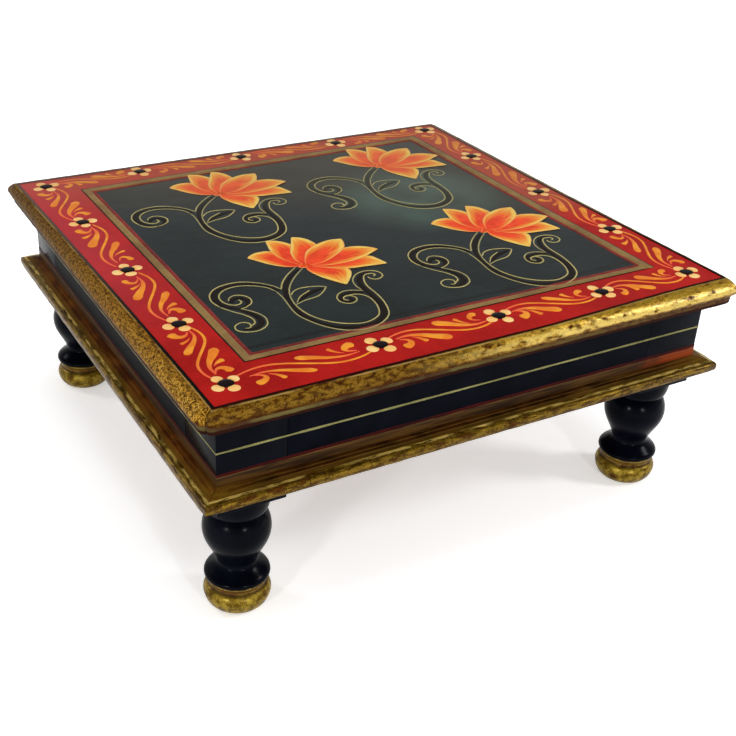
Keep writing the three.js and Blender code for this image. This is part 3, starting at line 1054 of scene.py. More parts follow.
def pressed(piece, chosen, level, left):
    """Presses the chosen points towards the level, to the given share of their height over it."""
    pick(piece, chosen)
    bpy.ops.transform.resize(value=(1, 1, left), center_override=(0, 0, level))


def brush_strokes(strokes, level, lift=PAINT_HEIGHT, closed=False):
    """One mesh of many strokes that lie on the level."""
    lines = [[(place.x, place.y, level) for place, _ in places] for places in strokes]
    curve = poly_curve(lines, MM)
    for spline, places in zip(curve.splines, strokes):
        spline.use_cyclic_u = closed
        for point, (_, half_width) in zip(spline.points, places):
            point.radius = half_width
    curve.bevel_depth = 1
    curve.bevel_resolution = STROKE_SIDES
    curve.use_fill_caps = True
    bpy.ops.object.convert(target="MESH")
    piece = bpy.context.object
    edit(piece)
    pressed(piece, lambda place: place.z > level + lift, level + lift, CROWN_LEFT)
    pressed(piece, lambda place: place.z < level, level, 0)
    leave_edit()
    close_up(piece, SHARP_IN_PAINT)
    return piece


# %% [markdown]
# ## The red border and the painted bands
#
# The border is a sheet of red with the dark field left open in its middle: a plane, inset, with the
# inner face removed. The painter's square is a little askew, so each inner corner has its own place.
# A dull gold band covers the joint, with a black line outside and a thin red one inside.

# %% Corners of the painted square, as shares of the field
BAND_CORNER_SHARES = [(0.0935, 0.089), (0.925, 0.0905), (0.9195, 0.9435), (0.094, 0.9195)]
# Widths go round from the front, as the sides do.
BAND_WIDTHS = (6 * MM, 7.5 * MM, 7.4 * MM, 6.3 * MM)
LINE_WIDTH = 1.5 * MM
INNER_LINE_WIDTH = 3 * MM
SHEET_HEIGHT = 0.1 * MM
ON_FIELD = FIELD_TOP + 0.01 * MM
ON_SHEET = FIELD_TOP + SHEET_HEIGHT
BORDER_CUTS = 24
RULED_STEPS = 60


def drawn_in(corners, insets):
    """The corners moved towards the middle, by the insets of the two sides that meet there."""
    middle = sum(corners, Vector((0, 0, 0))) / len(corners)
    moved = []
    for index, corner in enumerate(corners):
        inset = [insets[index], insets[index - 1]]
        across, deep = inset if index % 2 else reversed(inset)
        across = math.copysign(across, middle.x - corner.x)
        deep = math.copysign(deep, middle.y - corner.y)
        moved.append(corner + Vector((across, deep, 0)))
    return moved


band_outer = [on_top(*share) for share in BAND_CORNER_SHARES]


def red_sheet():
    size = field_high - field_low
    piece = added(bpy.ops.mesh.primitive_plane_add, size=1, location=(0, 0, ON_FIELD))
    piece.scale = (size.x, size.y, 1)
    settle()
    edit(piece)
    bpy.ops.mesh.inset(thickness=BAND_WIDTHS[0])
    inner = drawn_in(band_outer, [width / 2 for width in BAND_WIDTHS])
    shape = bmesh.from_edit_mesh(piece.data)
    for vertex in [v for v in shape.verts if v.select]:
        nearest = min(inner, key=lambda corner: (corner.xy - vertex.co.xy).length)
        vertex.co.x, vertex.co.y = nearest.x, nearest.y
    bmesh.update_edit_mesh(piece.data)
    bpy.ops.mesh.delete(type="ONLY_FACE")
    bpy.ops.mesh.select_all(action="SELECT")
    bpy.ops.mesh.subdivide(number_cuts=BORDER_CUTS)
    leave_edit()
    for vertex in piece.data.vertices:
        vertex.co += edge_shift(vertex.co)
    thickened(piece, SHEET_HEIGHT)
    close_up(piece)
    return piece


def ruled_square(corners, widths, waver, seed):
    """One closed stroke round a square, with mitred corners and a slight waver between them."""
    hand = random.Random(seed)
    places = []
    for start, end, width in zip(corners, corners[1:] + corners[:1], widths):
        run = (end - start).normalized()
        side = Vector((-run.y, run.x, 0))
        places.append((start, width / 2 * math.sqrt(2)))
        for step in range(1, RULED_STEPS):
            place = start.lerp(end, step / RULED_STEPS)
            places.append((place + side * hand.uniform(-waver, waver), width / 2))
    return [places]


# %% Paints for the border
def brushed_paint(name, dark, light, wear, gloss=0.34, shine=0.3, veils=()):
    """An even paint that changes between two tones, with small worn specks and veils, such as a painted
    sheen.
    """
    paint = Finish(name, Specular_IOR_Level=shine)
    cloud = paint.clouds(26 * MM, 4)
    stroke = paint.clouds(2.2 * MM, 3)
    speck = paint.clouds(0.8 * MM, 1).fade(0.69, 0.75)
    tone = paint.mix(cloud.fade(0.32, 0.68) * 0.7 + stroke.fade(0.35, 0.65) * 0.3, dark, light)
    return paint.surface(
        Base_Color=paint.mix(speck * 0.45, veiled(paint, tone, veils), wear),
        Roughness=gloss + cloud * 0.12,
        Normal=paint.bump(cloud * 1.5 + stroke * 0.5, 0.07 * MM),
    )


RED_VEILS = [(far_sheen, 0.42, screen(156, 104, 78)), (rosy, 0.3, screen(196, 76, 88))]
red_paint = brushed_paint(
    "border red", screen(150, 12, 8), screen(180, 22, 15), screen(90, 12, 12),
    shine=0.05, veils=RED_VEILS,
)
black_paint = brushed_paint(
    "line black", screen(12, 8, 9), screen(24, 14, 12), screen(60, 32, 26), shine=0.05
)
band_paint = brushed_paint(
    "band dull gold", screen(116, 86, 48), screen(148, 118, 66), screen(80, 56, 30), 0.4, 0.12
)
inner_paint = brushed_paint(
    "inner line red", screen(94, 25, 22), screen(144, 47, 40), screen(40, 28, 28), 0.4, 0.08
)

# %% Lay the border
INNER_LAP = 0.4 * MM
OUTER_LAP = 0.3 * MM


def square_of_paint(insets, widths, height, waver, seed):
    """A ruled square whose outer edge lies inside the band's outer edge by the inset of each side."""
    middle_line = drawn_in(band_outer, [inset + width / 2 for inset, width in zip(insets, widths)])
    strokes = ruled_square(middle_line, widths, waver, seed)
    return brush_strokes(strokes, ON_FIELD, height, closed=True)


give(red_sheet(), "red_border", "red_paint", red_paint)
# Each square's name, slot and paint, its insets and widths, its height, its waver and its seed.
RULED_SQUARES = [
    ("inner_red_line", "red_paint", inner_paint,
     [width - INNER_LAP for width in BAND_WIDTHS], [INNER_LINE_WIDTH] * 4, 0.1 * MM, 0.12 * MM, 3),
    ("dull_gold_band", "olive_gold_paint", band_paint, [0] * 4, BAND_WIDTHS, 0.2 * MM, 0.08 * MM, 4),
    ("black_line_round_band", "black_paint", black_paint,
     [OUTER_LAP - LINE_WIDTH] * 4, [LINE_WIDTH] * 4, 0.24 * MM, 0.05 * MM, 5),
]
for name, slot, paint, *ruling in RULED_SQUARES:
    give(square_of_paint(*ruling), name, slot, paint)
print("border laid")

# %% [markdown]
# ## Flowers and scrolling stems
#
# Sixteen flowers of four petals stand round the border, and a scroll runs from each to the next.
# Half of a scroll is drawn in shares of the gap between its two flowers and of the border's width,
# and the other half is the same strokes turned half round. A seeded hand shakes each copy, so no two
# are alike.

# %% Flower places, as shares of the field
FLOWER_SHARES = {
    "front": [(0.042, 0.041), (0.312, 0.047), (0.545, 0.05), (0.766, 0.048), (0.965, 0.047)],
    "left": [(0.042, 0.041), (0.0505, 0.255), (0.0465, 0.494), (0.043, 0.745), (0.034, 0.965)],
    "right": [(0.965, 0.047), (0.9715, 0.275), (0.967, 0.507), (0.964, 0.762), (0.9675, 0.9735)],
    "back": [(0.034, 0.965), (0.241, 0.974), (0.4795, 0.974), (0.722, 0.9745), (0.9675, 0.9735)],
}
BORDER_WIDTHS = {"front": 34 * MM, "left": 34 * MM, "right": 32 * MM, "back": 27 * MM}
LEAF_MARGIN = 2.5 * MM
PETAL_START = 3.4 * MM
PETAL_END = 10.6 * MM
PETAL_WIDTH = 7.6 * MM
HEART_WIDTH = 9.6 * MM
# A stem and, beside it, leaves: how wide each is, and its points as shares of gap and border.
STEM_WIDTH = 1.9 * MM
STROKE_STEPS = 6
PETAL_STEPS, HEART_STEPS = 14, 20
# How far the hand strays: shares of a stroke's reach and width, of gap and border, and degrees.
STEM_REACH, LEAF_REACH, LEAF_WIDTH = (0.9, 1.1), (0.88, 1.12), (0.78, 1.2)
STRAY_ALONG, STRAY_ACROSS = (-0.015, 0.015), (-0.03, 0.03)
FLOWER_TILT, PETAL_TURN = (5, 22), (-6, 6)
PETAL_REACH, PETAL_SWELL = (0.93, 1.06), (0.9, 1.06)
HALF_STEM_SHARES = [(0.085, 0.14), (0.18, 0.225), (0.285, 0.24), (0.395, 0.15)]
LEAVES = [
    (5.4 * MM, [(0.17, 0.01), (0.215, -0.05), (0.228, -0.14), (0.2, -0.23), (0.15, -0.27)]),
    (3.5 * MM, [(0.255, -0.01), (0.287, -0.08), (0.31, -0.17), (0.325, -0.26)]),
    (5.9 * MM, [(0.14, 0.06), (0.24, 0.08), (0.335, 0), (0.415, -0.13), (0.515, -0.27)]),
]


def turned_half(shares):
    """The same places for the other half of the scroll, half a turn round its middle."""
    return [(1 - along, -across) for along, across in shares]


def kept_on_boards(place):
    """The place, drawn back where a leaf would cross the edge of the boards."""
    margin = Vector((LEAF_MARGIN, LEAF_MARGIN, 0))
    low, high = field_low + margin, field_high - margin
    return Vector((min(max(place.x, low.x), high.x), min(max(place.y, low.y), high.y), place.z))


def scroll_strokes(start, end, border_width, hand):
    """A stem from flower to flower and its leaves. Left of the way is where the stem sets out."""
    run = end - start
    gap, ahead = run.length, run.normalized()
    side = Vector((-ahead.y, ahead.x, 0))

    def placed(shares, reach=1, shake=(0, 0)):
        places = [
            start + ahead * gap * (along + shake[0])
            + side * border_width * (across * reach + shake[1])
            for along, across in shares
        ]
        return smooth_path([kept_on_boards(place) for place in places], STROKE_STEPS)

    stem = HALF_STEM_SHARES + turned_half(HALF_STEM_SHARES)[::-1]
    strokes = [stroke(placed(stem, hand.uniform(*STEM_REACH)), STEM_WIDTH, tapered)]
    for half in (False, True):
        for width, shares in LEAVES:
            shake = hand.uniform(*STRAY_ALONG), hand.uniform(*STRAY_ACROSS)
            path = placed(turned_half(shares) if half else shares, hand.uniform(*LEAF_REACH), shake)
            strokes.append(stroke(path, width * hand.uniform(*LEAF_WIDTH), wedge))
    return strokes


def petal_strokes(centre, hand):
    """Four dabs round the heart, tilted a little."""
    tilt = hand.uniform(*FLOWER_TILT)
    strokes = []
    for quarter in range(4):
        turn = math.radians(90 * quarter + tilt + hand.uniform(*PETAL_TURN))
        way = Vector((math.cos(turn), math.sin(turn), 0))
        length = PETAL_END * hand.uniform(*PETAL_REACH) - PETAL_START
        points = [
            centre + way * (PETAL_START + length * step / PETAL_STEPS) for step in range(PETAL_STEPS + 1)
        ]
        strokes.append(stroke(points, PETAL_WIDTH * hand.uniform(*PETAL_SWELL), oval))
    return strokes


def heart_stroke(centre):
    half = Vector((HEART_WIDTH / 2, 0, 0))
    points = [centre - half + 2 * half * step / HEART_STEPS for step in range(HEART_STEPS + 1)]
    return stroke(points, HEART_WIDTH, oval)


# %% Paints for the strokes
def stroke_paint(name, landing, body, lift_off, shine=0.2, veils=()):
    """A stroke that changes colour from where the brush lands to where it lifts off."""
    paint = Finish(name, Specular_IOR_Level=shine)
    along = paint.along()
    hue = paint.clouds(14 * MM, 2).fade(0.4, 0.6)
    hair = paint.clouds(0.9 * MM, 2)
    tone = paint.mix(along.fade(0.1, 0.5), landing, paint.mix(hue, body, lift_off))
    tone = paint.mix(hair.fade(0.5, 0.75) * 0.3, tone, landing)
    return paint.surface(
        Base_Color=veiled(paint, tone, veils),
        Roughness=0.36 + hair * 0.15,
        Normal=paint.bump(hair, 0.05 * MM),
    )


orange_paint = stroke_paint(
    "scroll orange", screen(232, 98, 54), screen(226, 124, 30), screen(236, 152, 40), 0.1,
    [(far_sheen, 0.4, screen(150, 100, 62))],
)
cream_paint = stroke_paint(
    "petal cream", screen(234, 178, 92), screen(246, 206, 136), screen(244, 190, 114), 0.12,
    [(far_sheen, 0.25, screen(150, 110, 72))],
)
heart_paint = brushed_paint(
    "flower heart", screen(14, 7, 9), screen(24, 13, 16), screen(44, 26, 28), 0.3, 0.05
)

# %% Paint the border's ornament
HAND_SEED = 11
PETAL_HEIGHT, HEART_HEIGHT = 0.16 * MM, 0.34 * MM
hand = random.Random(HAND_SEED)
for side, shares in FLOWER_SHARES.items():
    centres = [on_top(*share) for share in shares]
    strokes = []
    for start, end in zip(centres, centres[1:]):
        strokes += scroll_strokes(start, end, BORDER_WIDTHS[side], hand)
    give(brush_strokes(strokes, ON_SHEET), side + "_border_scrolls", "orange_paint", orange_paint)
flowers = sorted({share for shares in FLOWER_SHARES.values() for share in shares})
petals = [s for share in flowers for s in petal_strokes(on_top(*share), hand)]
give(brush_strokes(petals, ON_SHEET, PETAL_HEIGHT), "border_flower_petals", "cream_paint", cream_paint)
hearts = [heart_stroke(on_top(*share)) for share in flowers]
give(brush_strokes(hearts, ON_SHEET, HEART_HEIGHT), "border_flower_hearts", "black_paint", heart_paint)
print("flowers:", len(flowers))

# %% [markdown]
# ## The lotus sprays
#
# A spray is a lotus seen from the side, on a stem that loops below it and throws off curls. The stem
# is two pale lines with black between them. Each petal is a sheet of paint between two given edges:
# a grid is added, and each of its points is laid between the edges, so that its UV map still says how
# far along and across the petal it is. Shares are again those of the field.

# %% Lines of the front left spray, in thousandths of the field
VINE_WIDTH = 1.0 * MM


def shares_of(lines):
    return [[(across / 1000, deep / 1000) for across, deep in line] for line in lines]


VINE_LINE_SHARES = shares_of([
    # the stem up to the flower, then its long inner line down round the loop
    [(320, 378), (290, 352), (268, 326), (255, 303)],
    [(334, 372), (300, 340), (275, 309), (260, 280), (252, 250), (250, 220), (255, 190),
     (270, 160), (295, 137), (325, 127), (355, 138), (370, 160), (378, 190),
     (377, 214), (366, 228), (353, 231), (341, 228)],
    # the outer line of the loop, up into the small curl on the right
    [(243, 300), (243, 270), (236, 210), (243, 175), (260, 140), (285, 115), (315, 106),
     (345, 112), (375, 135), (390, 170), (397, 210), (398, 250), (405, 275), (416, 293),
     (430, 294), (434, 286), (427, 281)],
    # the left scroll, its outer and then its inner line
    [(255, 303), (247, 323), (228, 345), (204, 360), (180, 363), (155, 356), (135, 337),
     (127, 310), (131, 283)],
    [(243, 300), (235, 320), (215, 338), (190, 347), (165, 343), (147, 325), (143, 302),
     (150, 285), (162, 279), (172, 286), (171, 297)],
    # the curl inside it and its tail, down to the lower curl
    [(153, 298), (160, 310), (172, 315), (185, 308), (191, 293), (186, 276), (172, 265),
     (160, 262)],
    # the upper right scroll
    [(381, 240), (380, 260), (386, 282), (402, 301), (422, 308), (440, 302), (447, 288),
     (443, 275), (430, 268), (419, 274), (418, 285)],
    # the small scroll inside the loop
    [(382, 236), (366, 246), (350, 249), (336, 243), (326, 228), (326, 211), (338, 201),
     (352, 206), (357, 219), (350, 230), (339, 228), (335, 219), (341, 212)],
    # the leaf and its midrib
    [(252, 237), (272, 245), (300, 251), (318, 264), (331, 279)],
    [(331, 279), (315, 288), (290, 293), (272, 287), (260, 274)],
    [(256, 243), (272, 262), (298, 278)],
])
# Most sprays have a tail from the left scroll to a lower curl. The back left one is closed instead.
TAIL_LINE_SHARES = shares_of([
    [(131, 283), (143, 260), (156, 240), (163, 220), (160, 205), (150, 197)],
    [(160, 262), (172, 248), (182, 228), (183, 208), (174, 188), (155, 177), (135, 180),
     (123, 192), (126, 208), (140, 215), (151, 207), (147, 193), (137, 193)],
])
CLOSING_LINE_SHARES = shares_of([[(131, 283), (138, 271), (148, 264), (160, 262)]])
VINE_FILL_WIDTH = 4.3 * MM
VINE_FILL_SHARES = shares_of([
    [(318, 366), (292, 343), (264, 305), (247, 255), (243, 215), (251, 170), (276, 133),
     (318, 117), (357, 128), (381, 165), (387, 205), (389, 250), (397, 278), (412, 297),
     (432, 300)],
    [(250, 300), (238, 326), (212, 349), (182, 355), (150, 345), (135, 315), (140, 285),
     (158, 262)],
    [(158, 262), (178, 272), (184, 291), (173, 304), (160, 300), (156, 290)],
    [(380, 230), (362, 239), (342, 237), (331, 224), (335, 210), (346, 213), (348, 222)],
    [(258, 245), (280, 262), (300, 271), (322, 277)],
])
TAIL_FILL_SHARES = shares_of([[(158, 262), (172, 232), (172, 205), (155, 188), (135, 192)]])

# %% Edges of the lotus petals, from the heart to the tip, the hindmost first
PETAL_SHARES = [shares_of(edges) for edges in [
    # a small patch behind the place where the petals meet
    ([(324, 372), (332, 382), (341, 386), (354, 374)],
     [(324, 372), (334, 368), (345, 367), (354, 374)]),
    ([(328, 377), (305, 385), (283, 407), (268, 432), (257, 450)],
     [(334, 384), (320, 425), (308, 458), (289, 465), (271, 461), (257, 450)]),
    ([(338, 372), (334, 352), (341, 322), (354, 295), (368, 272)],
     [(347, 371), (375, 355), (401, 329), (393, 303), (368, 272)]),
    ([(330, 382), (312, 420), (309, 455), (315, 485), (321, 508)],
     [(340, 384), (352, 430), (356, 470), (341, 497), (321, 508)]),
    ([(348, 372), (410, 372), (461, 364), (472, 345), (478, 320)],
     [(347, 368), (370, 349), (403, 331), (440, 325), (478, 320)]),
    ([(336, 381), (332, 405), (340, 437), (357, 471), (373, 503)],
     [(346, 380), (375, 410), (398, 448), (396, 476), (387, 493), (373, 503)]),
    ([(345, 374), (390, 400), (437, 414), (465, 411), (484, 398), (495, 384)],
     [(350, 370), (372, 359), (410, 356), (450, 362), (475, 374), (495, 384)]),
    ([(341, 378), (350, 400), (368, 428), (397, 449), (428, 459), (455, 456)],
     [(345, 372), (375, 374), (410, 393), (437, 414), (449, 435), (455, 456)]),
]]
PETAL_LAYER = 0.05 * MM
PETAL_LONG, PETAL_ACROSS = 28, 10
PETAL_EDGE_WIDTH = 1.0 * MM
PETAL_CROWN = 0.04 * MM
EDGE_STEPS, OUTLINE_STEPS = 12, 30


def edge_points(shares, count):
    """The smooth edge through these shares, at count + 1 even steps of its parameter."""
    line = smooth_path([on_top(*share) for share in shares], EDGE_STEPS)
    last = len(line) - 1
    points = []
    for step in range(count + 1):
        where = step / count * last
        index = min(int(where), last - 1)
        points.append(line[index].lerp(line[index + 1], where - index))
    return points


def petal_sheet(left, right, level):
    """A grid laid between two edges. Its UV map keeps the share along and the share across."""
    first, second = edge_points(left, PETAL_LONG), edge_points(right, PETAL_LONG)
    piece = added(
        bpy.ops.mesh.primitive_grid_add, x_subdivisions=PETAL_LONG, y_subdivisions=PETAL_ACROSS, size=1
    )
    for vertex in piece.data.vertices:
        along, across = vertex.co.x + 0.5, vertex.co.y + 0.5
        step = round(along * PETAL_LONG)
        place = first[step].lerp(second[step], across)
        crown = math.sin(math.pi * across) * PETAL_CROWN
        vertex.co = (place.x, place.y, level + crown)
    thickened(piece, PETAL_LAYER)
    close_up(piece, SHARP_IN_PAINT)
    return piece


# %% Paint for the lotus
def lotus_paint():
    """Red at the heart, through orange, to yellow at the tip and along the edges."""
    paint = Finish("lotus red to yellow", Specular_IOR_Level=0.12)
    where = paint.node("ShaderNodeTexCoord", output="UV")
    along, across = [
        paint.node("ShaderNodeSeparateXYZ", values={"Vector": where}, output=letter) for letter in "XY"
    ]
    long_streaks = paint.node("ShaderNodeMapping", values={"Vector": where, "Scale": (3, 14, 1)})
    streak = paint.node(
        "ShaderNodeTexNoise", values={"Vector": long_streaks, "Scale": 1, "Detail": 3}, output="Fac"
    )
    edge = abs(across - 0.5) * 2
    ripe = along + edge.fade(0.4, 1) * 0.4 + (streak - 0.5) * 0.75
    blush = paint.clouds(12 * MM, 2).fade(0.35, 0.65)
    red = paint.mix(blush, screen(222, 54, 12), screen(240, 72, 22))
    orange = paint.mix(ripe.fade(0.42, 0.68), red, screen(234, 130, 36))
    yellow = paint.mix(ripe.fade(0.66, 1), orange, screen(236, 200, 88))
    return paint.surface(
        Base_Color=veiled(paint, yellow, [(far_sheen, 0.3, screen(176, 122, 70))]),
        Roughness=0.36 + streak * 0.12,
        Normal=paint.bump(streak, 0.04 * MM),
    )


lotus_red = lotus_paint()
petal_edge = stroke_paint(
    "petal edge", screen(244, 116, 62), screen(240, 170, 88), screen(230, 200, 110), 0.12,
    [(far_sheen, 0.35, screen(176, 140, 84))],
)
vine_paint = stroke_paint(
    "vine line", screen(154, 146, 98), screen(170, 158, 100), screen(182, 168, 106), 0.08,
    [(far_sheen, 0.5, screen(112, 110, 82))],
)
fill_paint = brushed_paint(
    "vine black", screen(20, 15, 12), screen(32, 25, 19), screen(42, 36, 28), shine=0.04,
    veils=[(far_sheen, 0.4, screen(84, 88, 70))],
)


# %% Make one spray and copy it to its four places
SPRAY_OFFSET_SHARES = {
    "front_left": (0.004, 0), "front_right": (0.402, -0.002),
    "back_left": (0.006, 0.402), "back_right": (0.4, 0.414),
}
LAYER_RISE = 1.1 * PETAL_LAYER
VINE_LINE_HEIGHT, VINE_FILL_HEIGHT = 0.14 * MM, 0.05 * MM


def lotus_parts():
    sheets, edges = [], []
    for layer, (left, right) in enumerate(PETAL_SHARES):
        level = ON_FIELD + (layer + 1) * LAYER_RISE
        sheets.append(petal_sheet(left, right, level))
        outline = [
            stroke(edge_points(edge, OUTLINE_STEPS), PETAL_EDGE_WIDTH, steady) for edge in (left, right)
        ]
        edges.append(brush_strokes(outline, level + PETAL_LAYER / 2, PETAL_LAYER))
    return join(sheets), join(edges)


def drawn(lines, width, swell):
    paths = [smooth_path([on_top(*share) for share in line], STROKE_STEPS) for line in lines]
    return [stroke(path, width, swell) for path in paths]


def vine_lines(lines):
    return brush_strokes(drawn(lines, VINE_WIDTH, steady), ON_FIELD, VINE_LINE_HEIGHT)


def vine_fill(lines):
    return brush_strokes(drawn(lines, VINE_FILL_WIDTH, tapered), ON_FIELD, VINE_FILL_HEIGHT)


def copied(piece, shift):
    """A copy with its own mesh, moved, with its origin kept where it was."""
    twin = piece.copy()
    twin.data = piece.data.copy()
    bpy.context.collection.objects.link(twin)
    only(twin)
    twin.location = shift
    settle()
    return twin


petal_sheets, petal_edges = lotus_parts()
SPRAY_PARTS = {
    "lotus": (petal_sheets, "lotus_paint", lotus_red),
    "petal_edges": (petal_edges, "lotus_paint", petal_edge),
    "vine_lines": (vine_lines(VINE_LINE_SHARES), "vine_paint", vine_paint),
    "vine_tail": (vine_lines(TAIL_LINE_SHARES), "vine_paint", vine_paint),
    "vine_closed": (vine_lines(CLOSING_LINE_SHARES), "vine_paint", vine_paint),
    "vine_black": (vine_fill(VINE_FILL_SHARES), "black_paint", fill_paint),
    "vine_tail_black": (vine_fill(TAIL_FILL_SHARES), "black_paint", fill_paint),
}
for corner, (across, deep) in SPRAY_OFFSET_SHARES.items():
    shift = on_top(across, deep, 0) - on_top(0, 0, 0)
    left_out = "tail" if corner == "back_left" else "closed"
    for part, (piece, slot, paint) in SPRAY_PARTS.items():
        if left_out not in part:
            give(copied(piece, shift), corner + "_" + part, slot, paint)
for piece, slot, paint in SPRAY_PARTS.values():
    bpy.data.objects.remove(piece)
print("sprays:", len(SPRAY_OFFSET_SHARES))

# %% [markdown]
# ## Lines round the apron
#
# Three painted lines and a bronze band run round the frame, over rails and posts alike. Each is a
# thin belt: a cube the size of the frame without its top and bottom, divided, with its edges
# wavering as a hand-held brush does, and then given the thickness of paint.

# %% Belts of paint round the frame
BELT_CUTS = 70
BELT_PROUD = 0.08 * MM
WAVES_PER_METRE = 90


def belt(low, high, waver, seed):
    size = Vector((frame_high.x - frame_low.x, frame_high.y - frame_low.y, high - low))
    middle = (low + high) / 2
    piece = added(bpy.ops.mesh.primitive_cube_add, size=1, location=(0, 0, middle))
    piece.scale = size
    settle()
    edit(piece)
    pick_parts(piece, "FACE", lambda face: abs(face.normal.z) > 0.5)
    bpy.ops.mesh.delete(type="ONLY_FACE")
    level = (high - low) / 2
    pick_parts(piece, "EDGE", lambda edge: abs(edge.verts[0].co.z - edge.verts[1].co.z) < level)
    bpy.ops.mesh.subdivide(number_cuts=BELT_CUTS)
    leave_edit()
    for vertex in piece.data.vertices:
        drift = noise.noise(vertex.co * WAVES_PER_METRE + Vector((seed, seed, seed)))
        vertex.co.z += waver * drift * (1 if vertex.co.z > middle else -1)
    thickened(piece, BELT_PROUD)
    close_up(piece)
    return piece


# Each belt's lower and upper edge, how much they waver, and its seed.
GOLD_LINE = (129.3 * MM, 130.6 * MM, 0.25 * MM, 1)
RED_LINE = (113.6 * MM, 115.8 * MM, 0.3 * MM, 2)
BRONZE_BAND = (lower_high.z - 0.6 * MM, 113.9 * MM, 0.1 * MM, 3)
TOP_LINE = (frame_high.z - 1.8 * MM, frame_high.z - 0.1 * MM, 0.2 * MM, 4)
line_gold = brushed_paint(
    "apron line gold", screen(104, 102, 62), screen(146, 140, 90), screen(44, 40, 32), 0.4, 0.06
)
line_red = brushed_paint(
    "apron line red", screen(34, 7, 8), screen(66, 12, 11), screen(24, 8, 10), 0.4, 0.05
)


def bronze_paint():
    """Brown-gold below a paler line, and orange near the right end of the front."""
    paint = Finish("apron bronze", Specular_IOR_Level=0.15)
    streak = paint.clouds(2 * MM, 3, (0.06, 0.06, 1))
    cloud = paint.clouds(18 * MM, 3)
    tone = paint.mix(streak.fade(0.35, 0.65), screen(34, 18, 4), screen(74, 48, 13))
    pale = paint.axis("Z").fade(BRONZE_BAND[1] - 1.4 * MM, BRONZE_BAND[1] - 0.6 * MM)
    by_end = (paint.axis("X") + (cloud - 0.5) * 60 * MM).fade(125 * MM, 165 * MM)
    on_front = 1 - paint.axis("Y").fade(frame_low.y + 2 * MM, frame_low.y + 40 * MM)
    lightened = by_end * on_front * (0.4 + streak * 0.9)
    return paint.surface(
        Base_Color=paint.coated(
            tone,
            (pale * cloud.fade(0.35, 0.6) * 0.7, screen(104, 74, 32)),
            (lightened * 0.8, screen(146, 56, 14)),
        ),
        Roughness=0.34 + cloud * 0.15,
        Normal=paint.bump(streak, 0.06 * MM),
    )


bronze = bronze_paint()
give(belt(*GOLD_LINE), "apron_gold_line", "olive_gold_paint", line_gold)
give(belt(*RED_LINE), "apron_red_line", "red_paint", line_red)
give(belt(*BRONZE_BAND), "apron_bronze_band", "gilding", bronze)
give(belt(*TOP_LINE), "apron_top_line", "red_paint", line_red)
print("apron lined")

# %% [markdown]
# ## Floor, light and camera
#
# A pale floor, a soft overhead light and a few small lamps, at a level where a colour renders about
# as it is written. Lacquer shows whatever it mirrors, so the backdrop is white behind the table and
# grows dark overhead, as in a studio. The small lamps stand round the table and put the highlights
# on the turned legs and along the gilding.

# %% Floor and backdrop
FLOOR_SIDE = 12
FLOOR_NEAR, FLOOR_FAR = 0.28, 0.62
GLOW_NEAR, GLOW_FAR = 0.42, 0.7


def seen_by_mirrors(bench):
    """1 for a ray from the camera, or one that a glossy or clear surface sends on."""
    rays = [
        bench.node("ShaderNodeLightPath", output=f"Is {kind} Ray")
        for kind in ("Camera", "Glossy", "Transmission")
    ]
    return rays[0].larger(rays[1]).larger(rays[2])


floor = added(bpy.ops.mesh.primitive_plane_add, size=FLOOR_SIDE)
floor.name = "studio_floor"
pale_floor = Finish("pale floor", Specular_IOR_Level=0, Roughness=0.9, Emission_Strength=1)
dapple = pale_floor.clouds(300 * MM, 2)
across, deep = pale_floor.axis("X"), pale_floor.axis("Y")
away = (across * across + deep * deep).fade(FLOOR_NEAR ** 2, FLOOR_FAR ** 2)
glow = seen_by_mirrors(pale_floor) * (GLOW_NEAR + away * (GLOW_FAR - GLOW_NEAR))
floor.data.materials.append(pale_floor.surface(
    Base_Color=pale_floor.mix(dapple, screen(249, 249, 249), screen(252, 252, 252)),
    Emission_Color=pale_floor.mix(glow, (0, 0, 0, 1), (1, 1, 1, 1)),
))

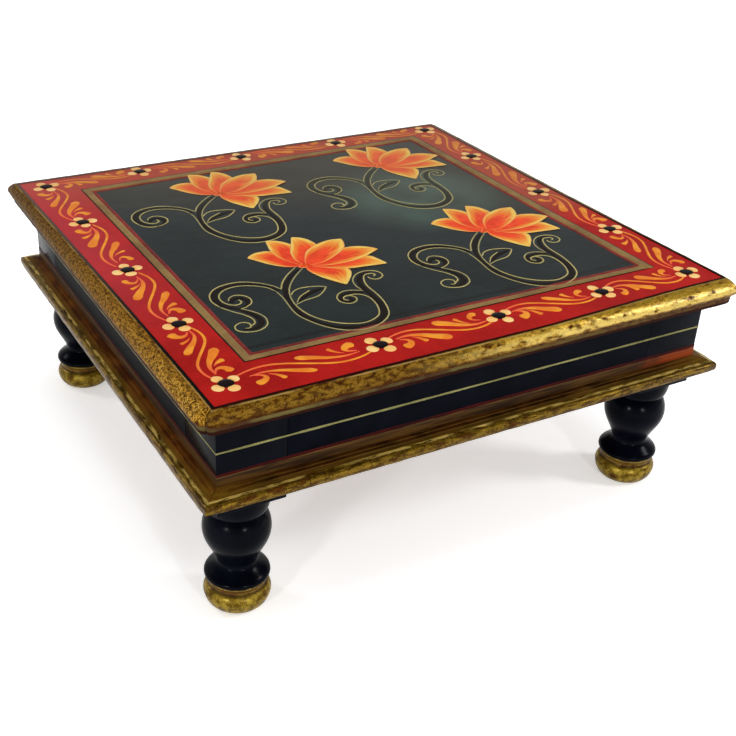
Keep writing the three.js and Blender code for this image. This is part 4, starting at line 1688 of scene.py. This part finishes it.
AMBIENT = 0.42
OVERHEAD = 0.1
WHITE_UP_TO, DARK_FROM = 0.1, 0.55
studio = bpy.data.worlds.new("studio")
bpy.context.scene.world = studio
studio.use_nodes = True
sky = NodeBench(studio.node_tree)
direction = sky.node("ShaderNodeTexCoord", output="Generated")
height = sky.node("ShaderNodeSeparateXYZ", values={"Vector": direction}, output="Z")
seen = seen_by_mirrors(sky)
backdrop = 1 - height.fade(WHITE_UP_TO, DARK_FROM) * (1 - OVERHEAD)
background = studio.node_tree.nodes["Background"]
sky.feed(background.inputs["Strength"], seen * backdrop + (1 - seen) * AMBIENT)
sky.feed(background.inputs["Color"], (1, 1, 1, 1))


# %% Lamps: name, place and size in metres, power in watts
LAMPS = [
    ("overhead_light", (0, 0.1, 2.1), 1.4, 12),
    ("front_lamp", (-0.12, -1.4, 0.4), 0.12, 4.5),
    ("left_lamp", (-1.18, -0.78, 0.42), 0.12, 4.5),
    ("right_lamp", (1.2, -0.85, 0.95), 0.3, 9),
    ("back_left_lamp", (-0.9, 1.0, 0.9), 0.3, 4),
]
LIT_PLACE = Vector((0, 0, 0.12))
for name, place, size, power in LAMPS:
    lamp = added(bpy.ops.object.light_add, type="AREA", location=place)
    lamp.name = name
    lamp.data.size = size
    lamp.data.energy = power
    lamp.rotation_euler = (Vector(place) - LIT_PLACE).to_track_quat("Z", "Y").to_euler()
print("lamps:", len(LAMPS))

# %% Camera: its place in metres, its turns in degrees, and the photo's lens in pixels
CAMERA_PLACE = (-0.394, -0.6708, 0.4934)
HEADING, ELEVATION, ROLL = 29.56, 29.55, 2.12
PHOTO_SIDE = 736
FOCAL_PIXELS = 1144.4
CENTRE_PIXEL = (327.5, 364.8)
bpy.ops.object.camera_add()
camera = bpy.context.object
turn = Matrix.Rotation(math.radians(-HEADING), 4, "Z")
tip = Matrix.Rotation(math.radians(90 - ELEVATION), 4, "X")
lean = Matrix.Rotation(math.radians(ROLL), 4, "Z")
camera.matrix_world = Matrix.Translation(CAMERA_PLACE) @ turn @ tip @ lean
camera.data.lens = FOCAL_PIXELS / PHOTO_SIDE * camera.data.sensor_width
camera.data.shift_x = (PHOTO_SIDE / 2 - CENTRE_PIXEL[0]) / PHOTO_SIDE
camera.data.shift_y = (CENTRE_PIXEL[1] - PHOTO_SIDE / 2) / PHOTO_SIDE
bpy.context.scene.camera = camera
bpy.context.scene.view_settings.view_transform = "Standard"
